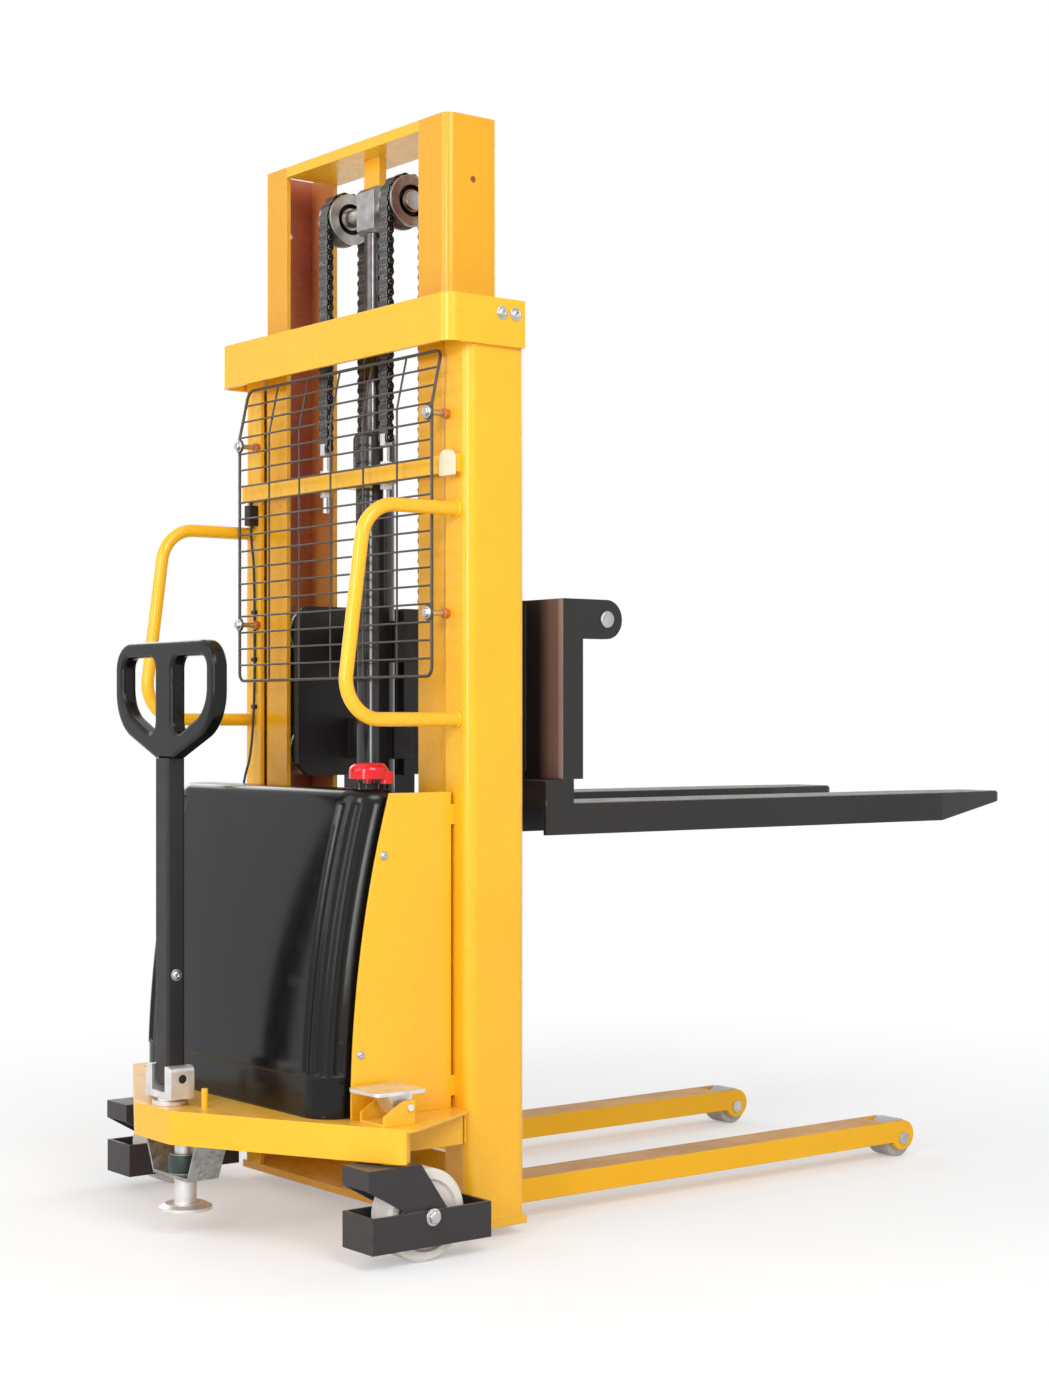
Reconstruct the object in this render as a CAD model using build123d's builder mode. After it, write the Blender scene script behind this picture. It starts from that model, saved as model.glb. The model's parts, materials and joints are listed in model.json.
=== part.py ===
"""Semi-electric stacker: a two-stage chain-lift mast on straddle legs, with a tiller, platform and casters.

Drawn in millimetres with X to the operator's right, Y forward along the forks and Z up from the floor.
The mast's rear face is Y = 0 while drawing; pieces are written about the middle of the footprint.
"""

import math
import os

from build123d import *

os.makedirs("parts", exist_ok=True)

# Outer mast
MAST_WIDTH = 770.0
MAST_DEPTH = 132.0
MAST_FLANGE = 68.0
MAST_WALL = 9.0
MAST_CORNER = 20.0
MAST_TOP = 1680.0
BASE_CLEARANCE = 20.0
BASE_PLATE = 14.0
BASE_WALL_TOP = 110.0
BASE_WALL_INSET = 45.0
TOP_BEAM_HEIGHT = 85.0
TOP_BEAM_PLATE = 8.0
TOP_BEAM_REAR = 51.0
TOP_BEAM_CORNER = 24.0
TOP_BEAM_SETBACK = 10.0
CROSS_BAR_Z = 1368.0
CROSS_BAR_HEIGHT = 32.0
CROSS_BAR_DEPTH = 14.0
GUIDE_PAD_HEIGHT = 90.0

# Inner mast, drawn part raised
MAST_SIDE_GAP = 3.0
INNER_DEPTH = 119.0
INNER_FLANGE = 88.0
INNER_WALL = 9.0
INNER_CORNER = 18.0
INNER_REAR = 5.0
INNER_BASE_GAP = 6.0
INNER_EYE_DROP = 115.0
INNER_EYE_RADIUS = 6.0
TOP_PLATE = 20.0
TIE_HEIGHT = 42.0
TIE_DEPTH = 16.0

# Lift cylinder and chains
BARREL_RADIUS = 37.0
BARREL_BORE = 30.0
BARREL_FLOOR = 24.0
BARREL_TOP = 1404.0
CYLINDER_OFFSET = 1.5
GLAND_HEIGHT = 72.0
GLAND_STEP = 5.0
GLAND_ROUND = 12.0
ROD_RADIUS = 21.0
PISTON_LENGTH = 40.0
ROD_INSERTION = 755.0
ROD_HEAD_WIDTH = 58.0
ROD_HEAD_DEPTH = 46.0
ROD_HEAD_HEIGHT = 88.0
ROD_BRACKET_WIDTH = 52.0
ROD_BRACKET_PLATE = 16.0
SHEAVE_X = 103.0
SHEAVE_DROP = 120.0
SHEAVE_PITCH_RADIUS = 45.0
SHEAVE_WIDTH = 42.0
SHEAVE_RIM = 6.0
SHEAVE_LIP = 4.0
SHEAVE_SIDE_GAP = 1.0
SHEAVE_WEB = 18.0
SHEAVE_HUB_WALL = 9.0
AXLE_SHOULDER = 5.0
AXLE_COLLAR_WIDTH = 6.0
ROD_HEAD_CHAMFER = 8.0
SHEAVE_AXLE_RADIUS = 12.5
CHAIN_PITCH = 19.05
CHAIN_WIDTH = 30.0
CHAIN_PLATE = 18.0
CHAIN_WAIST = 13.0
CHAIN_STEP = 3.0
ANCHOR_ROD_RADIUS = 6.0
ANCHOR_RISE = 62.0
ANCHOR_EYE = 22.0
ANCHOR_EYE_WIDTH = 14.0
ANCHOR_TAIL = 40.0
ANCHOR_NUT = 10.0
ANCHOR_NUT_RADIUS = 11.0
LUG_WIDTH = 32.0
LUG_EDGE = 13.0
SADDLE_WIDTH = 56.0

# Rollers
ROLLER_GAP = 0.3
ROLLER_PIN = 15.0
ROLLER_PIN_GAP = 2.0
ROLLER_CHAMFER = 3.0
INNER_ROLLER_WIDTH = 42.0
INNER_ROLLER_RISE = 74.0
CARRIAGE_ROLLER_WIDTH = 60.0
CARRIAGE_ROLLER_GAP = 11.0

# Straddle legs
LEG_CENTRE = 257.5
LEG_WIDTH = 83.0
LEG_BOTTOM = 34.0
LEG_TOP = 78.0
LEG_WALL = 6.0
LEG_CHEEK = 12.0
LEG_TIP_RADIUS = 31.0
LOAD_ROLLER_Y = 1211.0
LOAD_ROLLER_RADIUS = 40.0
LOAD_AXLE_RADIUS = 10.0
LOAD_ROLLER_SIDE_GAP = 1.5
AXLE_HEAD = 3.0
POCKET_GAP = 6.0

# Carriage and forks
FORK_TOP = 773.0
FORK_WIDTH = 160.0
FORK_HEIGHT = 59.0
FORK_PLATE = 8.0
FORK_TIP = 1520.0
FORK_TAPER = 230.0
FORK_TIP_HEIGHT = 20.0
FORK_TIP_WIDTH = 96.0
FORK_NOSE = 26.0
FORK_NOSE_DROP = 9.0
FORK_HEEL = 214.0
NEST_GAP = 5.0
SHANK_FRONT = 302.0
SHANK_DEPTH = 48.0
SHANK_PLATE = 24.0
SHANK_LEDGE = 22.0
SHANK_NOTCH = 44.0
HEEL_GAP = 2.0
SHANK_CHEEK = 16.0
SHANK_TOP = 1153.0
EAR_RADIUS = 37.0
EAR_REACH = 58.0
CROSS_SHAFT_RADIUS = 16.0
CROSS_SHAFT_END = 4.0
CROSS_SHAFT_CHAMFER = 2.0
CARRIAGE_BOTTOM = 817.0
CARRIAGE_SIDE = 16.0
CARRIAGE_BAR_HEIGHT = 80.0
CARRIAGE_BAR_DEPTH = 16.0
CARRIAGE_BAR_INSET = 34.0
CARRIAGE_BAR_GAP = 20.0
CARRIAGE_SIDE_REAR = 18.0
CARRIAGE_SNIP = 24.0
CARRIAGE_LUG_HEIGHT = 30.0
CARRIAGE_ROLLER_INSET = 50.0
FRONT_ANCHOR_DROP = 6.0

# Platform and what stands on it
PLATFORM_TOP = 236.0
PLATFORM_PLATE = 6.0
PLATFORM_LIP = 60.0
PLATFORM_LIP_WALL = 5.0
PLATFORM_WIDTH = 978.0
PLATFORM_SHOULDER = 195.0
PLATFORM_REACH = 419.0
PLATFORM_NOSE = 130.0
PLATFORM_CORNER = 28.0
PLATFORM_WEB_X = 374.0
PLATFORM_WEB = 6.0
PEG_X = 72.0
PEG_Y = 352.0
PEG_RADIUS = 6.0
PEG_HEIGHT = 34.0
HOOD_WIDTH = 660.0
HOOD_TOP = 805.0
HOOD_FOOT_REACH = 272.0
HOOD_TOP_REACH = 190.0
HOOD_FRONT = 120.0
HOOD_WALL = 6.0
HOOD_CORNER = 60.0
HOOD_BAND = 70.0
HOOD_BAND_STEP = 3.0
HOOD_TOP_ROUND = 20.0
HOOD_GROOVE_WIDTH = 24.0
HOOD_GROOVE_DEPTH = 4.5
HOOD_GROOVE_TURNS = (6.0, 36.0, 66.0)
HOOD_GROOVE_END = 6.0
PANEL_X = 345.0
PANEL_SHEET = 4.0
PANEL_RETURN = 34.0
PANEL_MAST_GAP = 8.0
PANEL_SETBACK = 52.0
PANEL_TAB = 36.0
PANEL_TAB_INSET = 22.0
BATTERY_SIZE = (250.0, 150.0, 200.0)
BATTERY_X = 150.0
BATTERY_Y = 155.0
BATTERY_CORNER = 8.0
BATTERY_POSTS = (-80.0, 80.0)
BATTERY_POST_RADIUS = 9.0
BATTERY_POST_HEIGHT = 14.0
PUMP_X = 150.0
PUMP_Y = 150.0
PUMP_TANK = (200.0, 130.0, 170.0)
PUMP_MOTOR_RADIUS = 62.0
PUMP_MOTOR_HEIGHT = 190.0

# Guard and handles
GUARD_HALF_WIDTH = 334.0
GUARD_BOTTOM = 1002.0
GUARD_TOP = 1590.0
GUARD_BENT_ROWS = 3
GUARD_LEAN = 22.0
GUARD_STANDOFF = 40.0
GUARD_WIRE = 4.0
GUARD_BORDER = 6.0
GUARD_ROWS = 18
GUARD_COLUMNS = 6
CLAMP_LOW_ROW = 3
CLAMP_HIGH_ROW = 14
CLAMP_STUD = 5.0
CLAMP_RADIUS = 9.0
CLAMP_CORE = 3.0
CLAMP_HEAD = 8.0
HANDLE_X = 352.0
HANDLE_TUBE = 12.5
HANDLE_LOW = 928.0
HANDLE_HIGH = 1303.0
HANDLE_REACH_LOW = 246.0
HANDLE_REACH_HIGH = 196.0
HANDLE_BEND = 70.0

# Limit switch and its cable on the left upright
SWITCH_SIZE = (20.0, 22.0, 40.0)
SWITCH_Z = 1338.0
CABLE_RADIUS = 2.5
CABLE_X = 335.5
CABLE_EXIT = 30.0
CABLE_SETTLE = 80.0
CABLE_LEAVES = 880.0
CABLE_TURNS = ((-310.0, -50.0, 790.0), (-230.0, -90.0, 690.0), (-205.0, -110.0, 580.0))
CABLE_BENDS = (60.0, 60.0, 90.0, 80.0, 80.0, 70.0)
SWITCH_ROUND = 4.0
SWITCH_PLUNGER = 10.0
CLIP_HEIGHTS = (950.0, 1045.0, 1140.0)
CLIP_WIDTH = 12.0
CLIP_WALL = 2.0
CLIP_HEIGHT = 8.0

# Cap on the cross bar
CAP_SIZE = (40.0, 8.0, 46.0)
CAP_X = 348.0
CAP_ROUND = 4.0
CAP_ARCH = 16.0

# Casters
CASTER_X = 425.0
CASTER_Y = 185.0
CASTER_HOUSING_WALL = 11.0
CASTER_TRAIL = 48.0
WHEEL_RADIUS = 80.0
WHEEL_WIDTH = 60.0
WHEEL_AXLE = 10.0
CASTER_CHEEK = 7.0
CASTER_CHEEK_GAP = 3.0
CASTER_CROWN = 7.0
CASTER_CROWN_FRONT = 28.0
CASTER_CROWN_REAR = 80.0
CASTER_TAB = 34.0
CASTER_BOSS = 22.0
CASTER_BOSS_FRONT = 34.0
CASTER_BOSS_REAR = 50.0
CASTER_BOSS_RISE = 12.0
CASTER_STEM_RADIUS = 16.0
WHEEL_TOP_GAP = 4.0
WHEEL_GUARD_LENGTH = 248.0
WHEEL_GUARD_BAR = 6.0
WHEEL_GUARD_LOW = 30.0
WHEEL_GUARD_HEIGHT = 62.0
WHEEL_BOLT_HEAD = 5.0
WHEEL_HUB = 28.0
WHEEL_RIM = 62.0
WHEEL_DISH = 6.0

# Tiller
TILLER_Y = 382.0
YOKE_SIZE = (92.0, 48.0, 58.0)
YOKE_BOTTOM = 250.0
YOKE_POST_RADIUS = 22.0
YOKE_DISC_RADIUS = 32.0
YOKE_DISC = 8.0
YOKE_SPIGOT = 14.0
YOKE_ROUND = 10.0
YOKE_FLOOR = 12.0
TILLER_PIVOT_Z = 286.0
STEM_WIDTH = 46.0
STEM_SIDE_GAP = 0.5
STEM_ROUND = 5.0
STEM_DEPTH = 36.0
TILLER_PIN = 8.0
HEAD_BOTTOM = 858.0
HEAD_TOP = 1068.0
HEAD_HALF_WIDTH = 180.0
HEAD_BAR = 28.0
HEAD_DEPTH = 30.0
HEAD_CORNER = 50.0
HEAD_LOW_CORNER = 90.0
HEAD_POST_WALL = 8.0
HEAD_RISE = 60.0
HEAD_SLANT = 1.2
HEAD_SOFT = 7.0

# Floor lock
LOCK_Y = 350.0
LOCK_STRAP = 6.0
LOCK_STRAP_Z = 104.0
LOCK_STRAP_HALF = 62.0
LOCK_STRAP_TOP_HALF = 120.0
LOCK_STRAP_WIDTH = 64.0
LOCK_STRAP_SLANT = 1.4
LOCK_BARREL_RADIUS = 30.0
LOCK_BARREL_TOP = 146.0
LOCK_POST_RADIUS = 20.0
LOCK_FOOT_RADIUS = 48.0
LOCK_FOOT_Z = 44.0
LOCK_FOOT_HEIGHT = 11.0
LOCK_POST_ABOVE = 50.0

# Brake pedal
PEDAL_X = 405.0
PEDAL_Y = 186.0
PEDAL_WIDTH = 92.0
PEDAL_LENGTH = 104.0
PEDAL_PLATE = 6.0
PEDAL_TOP = 296.0
PEDAL_PIVOT_Z = 266.0
PEDAL_PIVOT_Y = 166.0
PEDAL_PIN = 6.0
PEDAL_WALL = 5.0
PEDAL_WALL_GAP = 64.0
PEDAL_CAM_WIDTH = 44.0
PEDAL_BASE_LENGTH = 64.0
PEDAL_ROUND = 10.0

# Emergency knob
KNOB_X = 285.0
KNOB_Y = 144.0
KNOB_RADIUS = 35.0
KNOB_HEIGHT = 28.0
KNOB_LOBE_RADIUS = 12.0
KNOB_LOBE_X = 24.0
KNOB_LOBE_Y = 22.0
KNOB_LOBE_DROP = 9.0
KNOB_STEM = 10.0
KNOB_DOME = 15.0
KNOB_TRAVEL = 8.0
KNOB_TAIL = 14.0
KNOB_COLLAR = 18.0
KNOB_COLLAR_HEIGHT = 10.0

# Fasteners
BEAM_BOLT = 9.0
BEAM_BOLT_Y = (70.0, 100.0)
BEAM_BOLT_DROP = 26.0
PANEL_SCREW = 6.0
PANEL_SCREW_Z = (347.0, 690.0)
PANEL_SCREW_EDGE = 16.0
FASTENER_HEAD = 0.6

# Fits
RUNNING = 0.05
LOOSE = 0.3
SEAT = 0.2

# Places worked out from the sizes
MAST_HALF = MAST_WIDTH / 2
BASE_TOP = BASE_CLEARANCE + BASE_PLATE
INNER_HALF = MAST_HALF - MAST_FLANGE - MAST_SIDE_GAP
INNER_OPEN = INNER_HALF - INNER_FLANGE
LIFT_AT_REST = (FORK_TOP - FORK_PLATE - LEG_TOP - NEST_GAP) / 2
INNER_BOTTOM = BASE_TOP + INNER_BASE_GAP + LIFT_AT_REST
INNER_TOP = MAST_TOP + LIFT_AT_REST
CYLINDER_Y = INNER_REAR + INNER_DEPTH / 2 - CYLINDER_OFFSET
SHEAVE_Z = INNER_TOP - SHEAVE_DROP
ROD_BOTTOM = BARREL_TOP - ROD_INSERTION
CROSS_BAR_TOP = CROSS_BAR_Z + CROSS_BAR_HEIGHT
REAR_STRAND_Y = CYLINDER_Y - SHEAVE_PITCH_RADIUS
FRONT_STRAND_Y = CYLINDER_Y + SHEAVE_PITCH_RADIUS
ANCHOR_TOP = CROSS_BAR_TOP + ANCHOR_RISE
FRONT_ANCHOR_Z = CARRIAGE_BOTTOM + CARRIAGE_BAR_INSET + CARRIAGE_BAR_HEIGHT - FRONT_ANCHOR_DROP
FRONT_ANCHOR_TOP = FRONT_ANCHOR_Z + ANCHOR_RISE
BASE_FRONT = MAST_DEPTH + BASE_PLATE
SHANK_REAR = SHANK_FRONT - SHANK_DEPTH
SHANK_STEP = SHANK_FRONT - SHANK_LEDGE
SHANK_FACE = SHANK_STEP - SHANK_PLATE
CARRIAGE_PIN_END = INNER_HALF - INNER_WALL - ROLLER_PIN_GAP
CARRIAGE_ROLLER_ROOM = CARRIAGE_ROLLER_WIDTH + 2 * CARRIAGE_ROLLER_GAP
CARRIAGE_SIDE_X = CARRIAGE_PIN_END - CARRIAGE_ROLLER_ROOM - CARRIAGE_SIDE
EAR_Y = SHANK_FRONT + EAR_REACH
EAR_Z = SHANK_TOP - EAR_RADIUS
DECK_UNDER = PLATFORM_TOP - PLATFORM_PLATE
PANEL_TOP = HOOD_TOP - HOOD_WALL
FOOTPRINT_MIDDLE = (FORK_TIP - PLATFORM_REACH) / 2


def write(piece, label):
    """Name a finished piece and write it about the middle of the footprint."""
    placed = piece.moved(Location((0, -FOOTPRINT_MIDDLE, 0)))
    placed.label = label
    export_step(placed, f"parts/{label}.step")


def write_pair(piece, label):
    """Write a right-hand piece and its mirror image on the left."""
    write(piece, f"{label}_right")
    with BuildPart() as left:
        mirror(piece, about=Plane.YZ)
    write(left.part, f"{label}_left")


def channel(half, flange, wall, rear, depth, corner):
    """C profile open towards the middle, with rounded outer corners, as a sketch on the floor plane."""
    with BuildSketch() as profile:
        with Locations((half - flange / 2, rear + depth / 2)):
            outer = Rectangle(flange, depth)
        fillet(outer.vertices().sort_by(Axis.X)[-2:], corner)
        with Locations((half - wall - flange / 2, rear + depth / 2)):
            inner = Rectangle(flange, depth - 2 * wall, mode=Mode.PRIVATE)
        add(inner, mode=Mode.SUBTRACT)
    return profile.sketch


def band(half, rear, front, corner):
    """Rectangle across the truck with its two rear corners rounded, as a sketch on the floor plane."""
    with BuildSketch() as outline:
        with Locations((0, (rear + front) / 2)):
            block = Rectangle(2 * half, front - rear)
        fillet(block.vertices().sort_by(Axis.Y)[:2], corner)
    return outline.sketch


# Outer mast uprights, each a rolled channel standing on the base plate
with BuildPart() as outer_upright:
    with BuildSketch(Plane.XY.offset(BASE_TOP)):
        add(channel(MAST_HALF, MAST_FLANGE, MAST_WALL, 0, MAST_DEPTH, MAST_CORNER))
    extrude(amount=MAST_TOP - BASE_TOP)
write_pair(outer_upright.part, "outer_upright")

# Mast base: a plate under both uprights with a front wall that the legs are welded to
with BuildPart() as mast_base:
    with Locations((0, 0, BASE_CLEARANCE)):
        Box(MAST_WIDTH, MAST_DEPTH, BASE_PLATE, align=(Align.CENTER, Align.MIN, Align.MIN))
    with Locations((0, BASE_FRONT, BASE_CLEARANCE)):
        Box(
            MAST_WIDTH - 2 * BASE_WALL_INSET,
            BASE_FRONT - MAST_DEPTH,
            BASE_WALL_TOP - BASE_CLEARANCE,
            align=(Align.CENTER, Align.MAX, Align.MIN),
        )
write(mast_base.part, "mast_base")

# Top beam: a formed band round the rear and sides of both uprights
beam_front = MAST_DEPTH - TOP_BEAM_SETBACK
with BuildPart() as top_beam:
    with BuildSketch(Plane.XY.offset(MAST_TOP - TOP_BEAM_HEIGHT)):
        add(band(MAST_HALF + TOP_BEAM_PLATE, -TOP_BEAM_REAR, beam_front, TOP_BEAM_CORNER))
        beam_inner_rear = TOP_BEAM_PLATE - TOP_BEAM_REAR
        beam_inner_corner = TOP_BEAM_CORNER - TOP_BEAM_PLATE
        add(band(MAST_HALF, beam_inner_rear, beam_front, beam_inner_corner), mode=Mode.SUBTRACT)
    extrude(amount=TOP_BEAM_HEIGHT)
write(top_beam.part, "top_beam")

# Nylon pads that guide the inner mast at the top of the outer one
with BuildPart() as guide_pads:
    pad_reach = MAST_FLANGE - MAST_WALL + MAST_SIDE_GAP - LOOSE
    for side in (1, -1):
        with Locations((side * (MAST_HALF - MAST_WALL - pad_reach / 2), MAST_DEPTH / 2, MAST_TOP)):
            Box(
                pad_reach,
                MAST_DEPTH - 2 * MAST_WALL,
                GUIDE_PAD_HEIGHT,
                align=(Align.CENTER, Align.CENTER, Align.MAX),
            )
write(guide_pads.part, "mast_guide_pads")


def turned(outline, centre):
    """Solid of revolution about an X axis through the centre, from (x, radius) points."""
    plane = Plane(centre, x_dir=(1, 0, 0), z_dir=(0, -1, 0))
    with BuildPart() as solid:
        with BuildSketch(plane):
            with BuildLine():
                Polyline(*outline, close=True)
            make_face()
        revolve(axis=Axis(centre, (1, 0, 0)))
    return solid.part


def roller_outline(width, radius, bore, chamfer_size):
    """Half section of a plain roller with chamfered rims."""
    half = width / 2
    return [
        (-half, bore),
        (half, bore),
        (half, radius - chamfer_size),
        (half - chamfer_size, radius),
        (chamfer_size - half, radius),
        (-half, radius - chamfer_size),
    ]


def leaf_strand(x, y, low, high):
    """Straight run of leaf chain: waisted plates whose stack is wider at every second link."""
    links = max(2, round((high - low) / CHAIN_PITCH))
    step = (high - low) / links
    waist = []
    for link in range(links):
        waist.append((CHAIN_PLATE / 2, low + link * step))
        waist.append((CHAIN_WAIST / 2, low + (link + 0.5) * step))
    waist.append((CHAIN_PLATE / 2, high))
    stack = []
    for link in range(links):
        half = CHAIN_WIDTH / 2 - (CHAIN_STEP if link % 2 else 0)
        stack.append((half, low + link * step))
        stack.append((half, low + (link + 1) * step))
    with BuildPart() as strand:
        with BuildSketch(Plane.YZ.offset(x - CHAIN_WIDTH / 2)):
            with BuildLine():
                Polyline(
                    *[(y + half, z) for half, z in waist],
                    *[(y - half, z) for half, z in reversed(waist)],
                    close=True,
                )
            make_face()
        extrude(amount=CHAIN_WIDTH)
        with BuildSketch(Plane.XZ.offset(-y - CHAIN_PLATE)):
            with BuildLine():
                Polyline(
                    *[(x + half, z) for half, z in stack],
                    *[(x - half, z) for half, z in reversed(stack)],
                    close=True,
                )
            make_face()
        extrude(amount=2 * CHAIN_PLATE, mode=Mode.INTERSECT)
    return strand.part


def leaf_wrap(x):
    """Leaf chain bent half way round a sheave, with a crest at every pin."""
    links = round(math.pi * SHEAVE_PITCH_RADIUS / CHAIN_PITCH)
    crest = SHEAVE_PITCH_RADIUS + CHAIN_PLATE / 2
    dip = SHEAVE_PITCH_RADIUS + CHAIN_WAIST / 2
    root = SHEAVE_PITCH_RADIUS - CHAIN_PLATE / 2
    outer = []
    for half_link in range(2 * links + 1):
        angle = math.pi * half_link / (2 * links)
        radius = dip if half_link % 2 else crest
        outer.append((CYLINDER_Y + radius * math.cos(angle), SHEAVE_Z + radius * math.sin(angle)))
    with BuildPart() as wrap:
        with BuildSketch(Plane.YZ.offset(x - CHAIN_WIDTH / 2)):
            with BuildLine():
                ring = Polyline(*outer)
                Line(ring @ 1, (CYLINDER_Y - root, SHEAVE_Z))
                ThreePointArc(
                    (CYLINDER_Y - root, SHEAVE_Z),
                    (CYLINDER_Y, SHEAVE_Z + root),
                    (CYLINDER_Y + root, SHEAVE_Z),
                )
                Line((CYLINDER_Y + root, SHEAVE_Z), ring @ 0)
            make_face()
        extrude(amount=CHAIN_WIDTH)
    return wrap.part


def together(pieces):
    """Separate solids kept in one group."""
    return Compound([solid for piece in pieces for solid in piece.solids()])


# Inner mast uprights, each with a stub pin near the foot for its roller
INNER_ROLLER_Y = MAST_DEPTH / 2
INNER_ROLLER_Z = INNER_BOTTOM + INNER_ROLLER_RISE
INNER_PIN_END = MAST_HALF - MAST_WALL - ROLLER_PIN_GAP
with BuildPart() as inner_upright:
    with BuildSketch(Plane.XY.offset(INNER_BOTTOM)):
        add(channel(INNER_HALF, INNER_FLANGE, INNER_WALL, INNER_REAR, INNER_DEPTH, INNER_CORNER))
    extrude(amount=INNER_TOP - INNER_BOTTOM)
    pin_start = INNER_HALF - INNER_WALL / 2
    with BuildSketch(Plane.YZ.offset(pin_start)):
        with Locations((INNER_ROLLER_Y, INNER_ROLLER_Z)):
            Circle(ROLLER_PIN)
    extrude(amount=INNER_PIN_END - pin_start)
    with BuildSketch(Plane.YZ.offset(INNER_HALF - INNER_WALL)):
        with Locations((INNER_REAR + INNER_DEPTH / 2, INNER_TOP - INNER_EYE_DROP)):
            Circle(INNER_EYE_RADIUS)
    extrude(amount=INNER_WALL, mode=Mode.SUBTRACT)
write_pair(inner_upright.part, "inner_upright")

inner_roller_radius = MAST_DEPTH / 2 - MAST_WALL - ROLLER_GAP
inner_roller_x = (INNER_HALF + INNER_PIN_END) / 2
inner_roller_bore = ROLLER_PIN + RUNNING
inner_roller_outline = roller_outline(
    INNER_ROLLER_WIDTH, inner_roller_radius, inner_roller_bore, ROLLER_CHAMFER
)
inner_rollers = [
    turned(inner_roller_outline, (side * inner_roller_x, INNER_ROLLER_Y, INNER_ROLLER_Z))
    for side in (1, -1)
]
write(together(inner_rollers), "inner_mast_rollers")

# Plate across the top of the inner mast, with the bracket that the rod lifts it by
ROD_HEAD_TOP = SHEAVE_Z + ROD_HEAD_HEIGHT / 2
with BuildPart() as inner_top_plate:
    with Locations((0, INNER_REAR + INNER_DEPTH / 2, INNER_TOP)):
        Box(2 * INNER_OPEN, INNER_DEPTH, TOP_PLATE, align=(Align.CENTER, Align.CENTER, Align.MAX))
    with Locations((0, CYLINDER_Y, ROD_HEAD_TOP)):
        Box(
            ROD_BRACKET_WIDTH,
            ROD_BRACKET_PLATE,
            INNER_TOP - TOP_PLATE / 2 - ROD_HEAD_TOP,
            align=(Align.CENTER, Align.CENTER, Align.MIN),
        )
write(inner_top_plate.part, "inner_top_plate")

# Tie bar between the feet of the inner uprights, behind the cylinder
with BuildPart() as inner_tie_bar:
    with Locations((0, INNER_REAR, INNER_BOTTOM)):
        Box(2 * INNER_OPEN, TIE_DEPTH, TIE_HEIGHT, align=(Align.CENTER, Align.MIN, Align.MIN))
write(inner_tie_bar.part, "inner_tie_bar")

# Lift cylinder: barrel on the base plate, gland screwed on top, piston rod and rod head
with BuildPart() as cylinder_barrel:
    with BuildSketch(Plane.XY.offset(BASE_TOP)):
        with Locations((0, CYLINDER_Y)):
            Circle(BARREL_RADIUS)
    extrude(amount=BARREL_TOP - BASE_TOP)
    with BuildSketch(Plane.XY.offset(BASE_TOP + BARREL_FLOOR)):
        with Locations((0, CYLINDER_Y)):
            Circle(BARREL_BORE)
    extrude(amount=BARREL_TOP - BASE_TOP - BARREL_FLOOR, mode=Mode.SUBTRACT)
write(cylinder_barrel.part, "cylinder_barrel")

with BuildPart() as cylinder_gland:
    with BuildSketch(Plane.XY.offset(BARREL_TOP)):
        with Locations((0, CYLINDER_Y)):
            Circle(BARREL_RADIUS + GLAND_STEP)
    extrude(amount=GLAND_HEIGHT)
    fillet(cylinder_gland.edges().group_by(Axis.Z)[-1], GLAND_ROUND)
    with BuildSketch(Plane.XY.offset(BARREL_TOP)):
        with Locations((0, CYLINDER_Y)):
            Circle(ROD_RADIUS + RUNNING)
    extrude(amount=GLAND_HEIGHT, mode=Mode.SUBTRACT)
write(cylinder_gland.part, "cylinder_gland")

ROD_TOP = SHEAVE_Z - ROD_HEAD_HEIGHT / 2
with BuildPart() as piston_rod:
    with BuildSketch(Plane.XY.offset(ROD_BOTTOM)):
        with Locations((0, CYLINDER_Y)):
            Circle(BARREL_BORE - RUNNING)
    extrude(amount=PISTON_LENGTH)
    with BuildSketch(Plane.XY.offset(ROD_BOTTOM + PISTON_LENGTH)):
        with Locations((0, CYLINDER_Y)):
            Circle(ROD_RADIUS)
    extrude(amount=ROD_TOP - ROD_BOTTOM - PISTON_LENGTH)
write(piston_rod.part, "piston_rod")

with BuildPart() as rod_head:
    with Locations((0, CYLINDER_Y, SHEAVE_Z)):
        Box(ROD_HEAD_WIDTH, ROD_HEAD_DEPTH, ROD_HEAD_HEIGHT)
    chamfer(rod_head.edges().filter_by(Axis.X), ROD_HEAD_CHAMFER)
    with BuildSketch(Plane.YZ.offset(-ROD_HEAD_WIDTH / 2)):
        with Locations((CYLINDER_Y, SHEAVE_Z)):
            Circle(SHEAVE_AXLE_RADIUS + SEAT)
    extrude(amount=ROD_HEAD_WIDTH, mode=Mode.SUBTRACT)
write(rod_head.part, "rod_head")

# Axle through the rod head, with shoulders and end collars that keep both sheaves in line
axle_shoulder = SHEAVE_X - SHEAVE_WIDTH / 2 - LOOSE
axle_collar = SHEAVE_X + SHEAVE_WIDTH / 2 + LOOSE
axle_end = axle_collar + AXLE_COLLAR_WIDTH
shoulder_radius = SHEAVE_AXLE_RADIUS + AXLE_SHOULDER
half_axle = [
    (ROD_HEAD_WIDTH / 2, SHEAVE_AXLE_RADIUS),
    (ROD_HEAD_WIDTH / 2, shoulder_radius),
    (axle_shoulder, shoulder_radius),
    (axle_shoulder, SHEAVE_AXLE_RADIUS),
    (axle_collar, SHEAVE_AXLE_RADIUS),
    (axle_collar, shoulder_radius),
    (axle_end, shoulder_radius),
]
axle_outline = [(-axle_end, 0), *[(-x, r) for x, r in reversed(half_axle)], *half_axle, (axle_end, 0)]
sheave_centre = (0, CYLINDER_Y, SHEAVE_Z)
write(turned(axle_outline, sheave_centre), "sheave_axle")

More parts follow.
